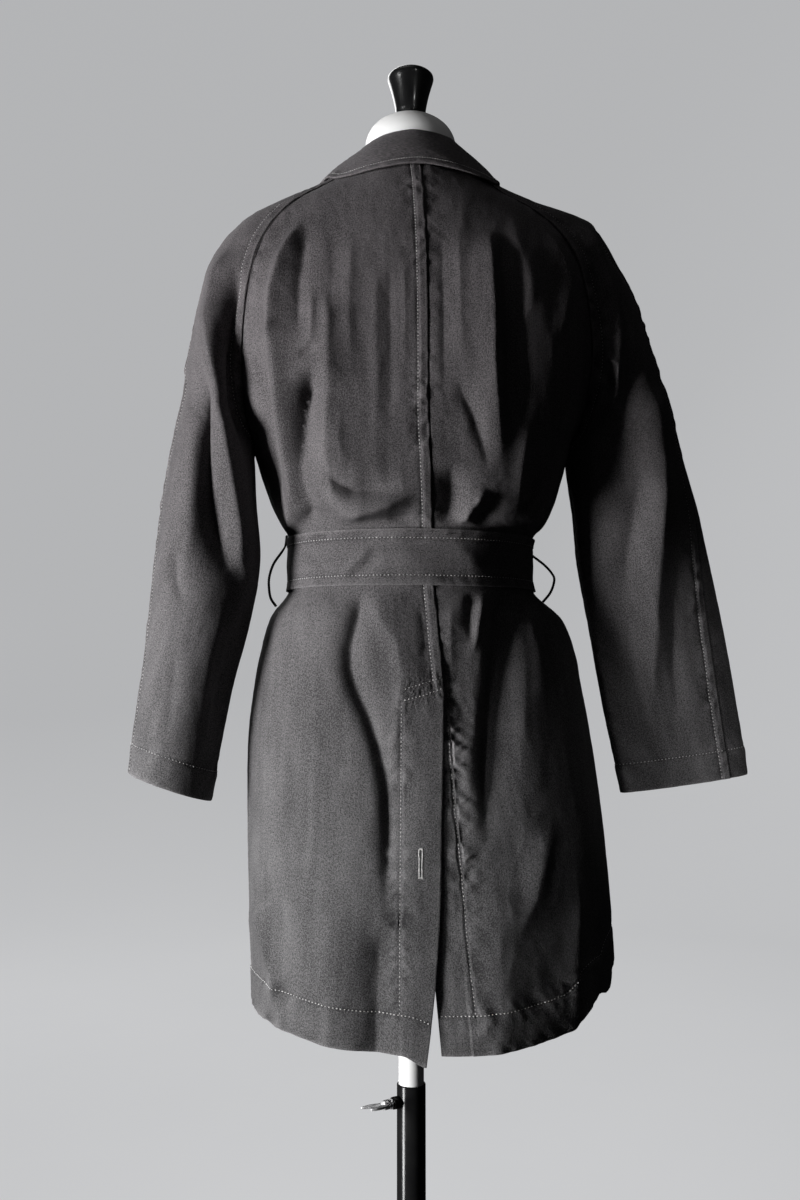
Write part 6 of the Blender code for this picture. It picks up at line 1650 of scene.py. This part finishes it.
# ------------------------------------------------------- dress form and stand
FORM_COLUMNS = ("z", "half", "back", "front", "square")
FORM_ROWS = (
    (0.8011, 0.1239, 0.0880, 0.0910, 2.2),
    (0.8040, 0.1299, 0.0930, 0.0960, 2.2),
    (0.8158, 0.1359, 0.0980, 0.1000, 2.2),
    (0.8602, 0.1472, 0.1040, 0.1030, 2.2),
    (0.9048, 0.1495, 0.1040, 0.1020, 2.2),
    (0.9497, 0.1419, 0.0980, 0.0970, 2.2),
    (0.9847, 0.1302, 0.0910, 0.0900, 2.2),
    (1.0198, 0.1164, 0.0850, 0.0840, 2.2),
    (1.0450, 0.1115, 0.0820, 0.0820, 2.2),
    (1.0804, 0.1157, 0.0850, 0.0870, 2.2),
    (1.1210, 0.1251, 0.0920, 0.0960, 2.2),
    (1.1669, 0.1355, 0.0980, 0.1050, 2.2),
    (1.2130, 0.1429, 0.1010, 0.1090, 2.2),
    (1.2542, 0.1463, 0.1010, 0.1060, 2.2),
    (1.2956, 0.1486, 0.0970, 0.0970, 2.1),
    (1.3371, 0.1490, 0.0890, 0.0840, 2.0),
    (1.3684, 0.1462, 0.0780, 0.0710, 1.9),
    (1.3946, 0.1372, 0.0660, 0.0590, 1.8),
    (1.4134, 0.1219, 0.0570, 0.0520, 1.8),
    (1.4292, 0.1025, 0.0500, 0.0480, 1.8),
    (1.4429, 0.0821, 0.0460, 0.0460, 1.8),
    (1.4555, 0.0637, 0.0440, 0.0450, 1.9),
    (1.4692, 0.0534, 0.0440, 0.0450, 2.0),
    (1.4840, 0.0498, 0.0440, 0.0450, 2.0),
    (1.4990, 0.0500, 0.0440, 0.0450, 2.0),
    (1.5100, 0.0488, 0.0430, 0.0435, 2.0),
    (1.5190, 0.0450, 0.0395, 0.0400, 2.0),
    (1.5262, 0.0390, 0.0345, 0.0350, 2.0),
    (1.5316, 0.0310, 0.0285, 0.0290, 2.0),
    (1.5352, 0.0225, 0.0215, 0.0215, 2.0),
    (1.5368, 0.0155, 0.0150, 0.0150, 2.0),
)
FORM_STEPS, FORM_RINGS = 96, 150
at = np.linspace(0, len(FORM_ROWS) - 1, FORM_RINGS)
row = {c: read(FORM_ROWS, FORM_COLUMNS, c, at) for c in FORM_COLUMNS}
angle = np.linspace(0, 2 * math.pi, FORM_STEPS, endpoint=False)
c, s = np.cos(angle)[None, :], np.sin(angle)[None, :]
power = (2 / row["square"])[:, None]
x = row["half"][:, None] * np.sign(c) * np.abs(c) ** power
y = np.where(s >= 0, row["back"][:, None], row["front"][:, None]) * np.sign(s) * np.abs(s) ** power
z = row["z"][:, None] + 0 * c
verts = np.stack((x, y, z), axis=-1).reshape(-1, 3)
faces = [tuple(range(FORM_STEPS - 1, -1, -1)), tuple((FORM_RINGS - 1) * FORM_STEPS + k for k in range(FORM_STEPS))]
for i in range(FORM_RINGS - 1):
    for k in range(FORM_STEPS):
        m = (k + 1) % FORM_STEPS
        faces.append((i * FORM_STEPS + k, i * FORM_STEPS + m, (i + 1) * FORM_STEPS + m, (i + 1) * FORM_STEPS + k))
form_piece = riding(mesh_object("form_cover", verts, faces, JERSEY, sharp=50), "form", "form_cover", "form_body")

CAP = ((0.0164, 1.5430), (0.0178, 1.5520), (0.0203, 1.5630), (0.0231, 1.5730), (0.0249, 1.5788), (0.0252, 1.5814),
       (0.0242, 1.5843), (0.0196, 1.5878), (0.0112, 1.5900), (0.0, 1.5907))
profile = [(0, 1.5372), (0.0150, 1.5372), (0.0158, 1.5376), (0.0160, 1.5386), (0.0160, 1.5400), (0.0156, 1.5406), (0.0156, 1.5412)]
profile += [(max(r, 0.0), h) for r, h in flowing(CAP, 44)][:-1] + [(0, 1.5907)]
riding(turned("neck_cap_lacquer", profile, 96, LACQUER), "form", "black_lacquer", "neck_cap")

post = ((0, POST_LOW), (POST_R - 0.001, POST_LOW), (POST_R, POST_LOW + 0.001), (POST_R, POST_TOP), (0, POST_TOP))
riding(turned("form_post_enamel", post, 72, WHITE), "post", "white_enamel", "form_post")
tube = ((TUBE_BORE_R, BASE_H + 0.0003), (TUBE_R, BASE_H + 0.0003), (TUBE_R, TUBE_TOP - 0.0010), (TUBE_R - 0.0004, TUBE_TOP - 0.0002),
        (TUBE_R - 0.0008, TUBE_TOP), (TUBE_BORE_R + 0.0001, TUBE_TOP), (TUBE_BORE_R, TUBE_TOP - 0.0003))
riding(turned("stand_tube_enamel", tube, 72, BLACK), "stand", "black_enamel", "stand_tube")
base = [(0, 0)] + rounded(((0, 0), (BASE_R - 0.001, 0), (BASE_R, 0.001), (BASE_R, BASE_H - 0.004), (BASE_R - 0.004, BASE_H), (0.030, BASE_H)), 0.003, 5)[1:-1]
base += [(0.16, BASE_H), (0.08, BASE_H), (0, BASE_H)]
riding(turned("stand_base_enamel", base, 128, BLACK), "stand", "black_enamel", "stand_base")
hub = ((TUBE_R + 0.0003, BASE_H + 0.0003), (0.0298, BASE_H + 0.0003), (0.0300, BASE_H + 0.0006), (0.0300, 0.0170), (0.0292, 0.0186), (0.0240, 0.0240),
       (0.0206, 0.0290), (0.0190, 0.0325), (0.0180, 0.0337), (0.0172, 0.0340), (TUBE_R + 0.0003, 0.0340))
riding(turned("base_hub_enamel", hub, 72, BLACK), "stand", "black_enamel", "base_hub")

# the clamp: a boss on the tube, and a wing screw through it
side_on = mathutils.Matrix.Translation((0, 0, SCREW_Z)) @ mathutils.Matrix.Rotation(SCREW_TURN, 4, "Z")
boss = turned("screw_boss_enamel", rounded(((0.0034, 0.0), (0.0056, 0.0), (0.0062, 0.0012), (0.0062, 0.0070), (0.0052, 0.0082), (0.0034, 0.0082)), 0.0008, 3), 40, BLACK)
boss.data.transform(side_on @ mathutils.Matrix.Translation((TUBE_R + 0.0004, 0, 0)) @ mathutils.Matrix.Rotation(math.pi / 2, 4, "Y"))
riding(boss, "stand", "black_enamel", "screw_boss")

SCREW_R, HUB_R = 0.0030, 0.0048
SCREW_FROM, WASHER, HUB_FROM, HUB_TO = TUBE_R + 0.0006, 0.0243, 0.0272, 0.0350
stem = [(0, SCREW_FROM), (SCREW_R - 0.0003, SCREW_FROM)]
h = SCREW_FROM + 0.0004
while h < WASHER - 0.0006:
    stem += [(SCREW_R, h), (SCREW_R - 0.0004, h + 0.0004)]
    h += 0.0008
stem += [(SCREW_R - 0.0002, WASHER), (0.0052, WASHER), (0.0054, WASHER + 0.0002), (0.0054, WASHER + 0.0014), (0.0052, WASHER + 0.0016),
         (SCREW_R, WASHER + 0.0016), (SCREW_R, HUB_FROM), (HUB_R - 0.0005, HUB_FROM), (HUB_R, HUB_FROM + 0.0006),
         (HUB_R, HUB_TO - 0.0012), (HUB_R - 0.0010, HUB_TO - 0.0002), (HUB_R - 0.0016, HUB_TO), (0, HUB_TO)]
screw = turned("wing_screw_steel", stem, 40, STEEL)
screw.data.transform(mathutils.Matrix.Rotation(math.pi / 2, 4, "Y"))
WING_ROWS = ((0.0282, 0.0030, 0.0016), (0.0315, 0.0082, 0.0014), (0.0385, 0.0126, 0.0014), (0.0470, 0.0136, 0.0014),
             (0.0530, 0.0120, 0.0013), (0.0545, 0.0095, 0.0012), (0.0495, 0.0066, 0.0013), (0.0410, 0.0042, 0.0014),
             (0.0344, 0.0020, 0.0016))
mesh = bmesh.new()
mesh.from_mesh(screw.data)
ring = WING_ROWS + (WING_ROWS[0],)
smooth_at = np.linspace(0, len(WING_ROWS), 45)[:-1]
outline = np.stack([read(ring, ("out", "across", "thick"), q, smooth_at) for q in ("out", "across", "thick")], axis=1)
centre = outline.mean(axis=0)
for side in (1, -1):
    layers = []
    for inset, share in ((0.82, -1.0), (0.96, -.75), (1.0, -.30), (1.0, 0.30), (0.96, 0.75), (0.82, 1.0)):
        layers.append([mesh.verts.new((centre[0] + (o[0] - centre[0]) * inset, side * (centre[1] + (o[1] - centre[1]) * inset), share * o[2]))
                       for o in outline])
    for a, b in zip(layers, layers[1:]):
        for k in range(len(a)):
            m = (k + 1) % len(a)
            mesh.faces.new((a[k], a[m], b[m], b[k]))
    mesh.faces.new(layers[0])
    mesh.faces.new(layers[-1])
bmesh.ops.recalc_face_normals(mesh, faces=mesh.faces[:])
mesh.to_mesh(screw.data)
mesh.free()
screw.data.transform(side_on @ mathutils.Matrix.Rotation(WING_ROLL, 4, "X"))
screw.data.shade_smooth()
screw.data.set_sharp_from_angle(angle=math.radians(40))
riding(screw, "wing", "bright_steel", "wing_screw")

# --------------------------------------------------------- cloth sheet sizes, printed
for name, panel in panels.items():
    area_cells = np.linalg.norm(np.cross(panel.base[1:, :-1] - panel.base[:-1, :-1], panel.base[:-1, 1:] - panel.base[:-1, :-1]), axis=-1)
    area = float(area_cells[panel.keep].sum())
    wide, long = float(panel.across[:, -1].max()), float(np.median(panel.down[-1]))
    print("sheet", name, round(wide, 4), round(long, 4), round(area, 5))
for name, panel, wide, long in (("collar", collar, collar.across[:, -1].mean(), collar.down[-1].mean()), ("belt", belt, belt.down[-1].mean(), belt.across.mean(axis=0)[-1])):
    cells = np.linalg.norm(np.cross(panel.base[1:, :-1] - panel.base[:-1, :-1], panel.base[:-1, 1:] - panel.base[:-1, :-1]), axis=-1)
    area = float(cells.sum())
    long = max(float(long), area / float(wide))
    print("sheet", name, round(float(wide), 4), round(long, 4), round(area, 5))

# ------------------------------------------------------- floor, light, camera
STAGE_R, COVE_R, STAGE_H = 4.6, 1.4, 8.0
profile = [(0.0, 0.0), (STAGE_R - COVE_R, 0.0)]
profile += [(STAGE_R - COVE_R + COVE_R * math.sin(a), COVE_R - COVE_R * math.cos(a)) for a in np.linspace(0.12, math.pi / 2, 12)]
profile += [(STAGE_R, STAGE_H)]
verts, faces = [], []
for r, h in profile:
    verts += [(r * math.cos(2 * math.pi * k / 96), r * math.sin(2 * math.pi * k / 96), h - 0.0002) for k in range(96)]
for i in range(len(profile) - 1):
    for k in range(96):
        m = (k + 1) % 96
        faces.append((i * 96 + k, i * 96 + m, (i + 1) * 96 + m, (i + 1) * 96 + k))
k = Nodes("pale_backdrop")
k.link(k.blend(k.span(k.noise(1.1, 4.0, 0.6), 0.3, 0.7, 0.0, 1.0), (0.34, 0.343, 0.348), (0.37, 0.37, 0.373)), k.shader.inputs["Base Color"])
k.set(Roughness=0.9, Specular_IOR_Level=0.1, Emission_Color=(0.9, 0.91, 0.93, 1.0), Emission_Strength=0.50)
backdrop = mesh_object("pale_backdrop", verts, faces, k.m)
backdrop.visible_diffuse = False
backdrop.visible_glossy = False


def area_light(name, place, aim, wide, tall, watts, colour=(1, 1, 1)):
    data = bpy.data.lights.new(name, "AREA")
    data.shape, data.size, data.size_y = "RECTANGLE", wide, tall
    data.energy, data.color = watts, colour
    obj = bpy.data.objects.new(name, data)
    bpy.context.scene.collection.objects.link(obj)
    obj.location = place
    obj.rotation_euler = (mathutils.Vector(aim) - mathutils.Vector(place)).to_track_quat("-Z", "Y").to_euler()
    return obj


key = area_light("key", (2.12, 0.78, 0.72), (0, 0, 0.86), 0.6, 1.2, 22.0)
area_light("fill", (-0.6, 3.0, 1.5), (0, 0, 1.0), 2.0, 2.4, 0.4)
area_light("front_fill", (0.9, -2.7, 3.0), (0, 0, 1.0), 2.2, 2.2, 44.0)
area_light("top", (0.9, 0.4, 3.9), (0, 0, 0), 2.2, 2.2, 5.0)
key.data.spread = math.radians(75)
data = bpy.data.lights.new("low_left", "SPOT")
data.energy, data.spot_size, data.spot_blend, data.shadow_soft_size = 120.0, math.radians(6.6), 1.0, 0.12
low_left = bpy.data.objects.new("low_left", data)
bpy.context.scene.collection.objects.link(low_left)
data = bpy.data.lights.new("neck", "SPOT")
data.energy, data.spot_size, data.spot_blend, data.shadow_soft_size = 26.0, math.radians(4.6), 0.9, 0.15
neck_light = bpy.data.objects.new("neck", data)
bpy.context.scene.collection.objects.link(neck_light)
neck_light.location = (-0.70, 2.30, 1.75)
neck_light.rotation_euler = (mathutils.Vector((0.0, 0.03, 1.515)) - neck_light.location).to_track_quat("-Z", "Y").to_euler()
data = bpy.data.lights.new("cuff", "SPOT")
data.energy, data.spot_size, data.spot_blend, data.shadow_soft_size = 115.0, math.radians(5.4), 1.0, 0.15
cuff_light = bpy.data.objects.new("cuff", data)
bpy.context.scene.collection.objects.link(cuff_light)
cuff_light.location = (-1.30, 2.10, 0.80)
cuff_light.rotation_euler = (mathutils.Vector((-0.345, 0.04, 0.87)) - cuff_light.location).to_track_quat("-Z", "Y").to_euler()
low_left.location = (1.70, 1.60, 0.62)
low_left.rotation_euler = (mathutils.Vector((-0.320, 0.06, 0.79)) - low_left.location).to_track_quat("-Z", "Y").to_euler()
world = bpy.data.worlds.new("studio")
world.use_nodes = True
world.node_tree.nodes["Background"].inputs["Color"].default_value = (0.95, 0.97, 1.0, 1.0)
world.node_tree.nodes["Background"].inputs["Strength"].default_value = 0.010
bpy.context.scene.world = world
bpy.context.scene.view_settings.view_transform = "Standard"

data = bpy.data.cameras.new("camera")
data.sensor_fit, data.sensor_width, data.sensor_height = "VERTICAL", 36.0, 36.0
data.lens = 36.0 * SHEET_SCALE / 1200.0
data.clip_start, data.clip_end = 0.05, 30.0
camera = bpy.data.objects.new("camera", data)
bpy.context.scene.collection.objects.link(camera)
forward = -AWAY * math.cos(SIGHT_YAW) - RIGHT * math.sin(SIGHT_YAW)
look = mathutils.Vector(forward * math.cos(SIGHT_TILT) + UP * math.sin(SIGHT_TILT))
back = -look
across = mathutils.Vector(forward).cross(mathutils.Vector((0, 0, 1))).normalized()
upward = back.cross(across)
camera.matrix_world = mathutils.Matrix((
    (across.x, upward.x, back.x, STANDING[0]), (across.y, upward.y, back.y, STANDING[1]),
    (across.z, upward.z, back.z, STANDING[2]), (0, 0, 0, 1)))
bpy.context.scene.camera = camera
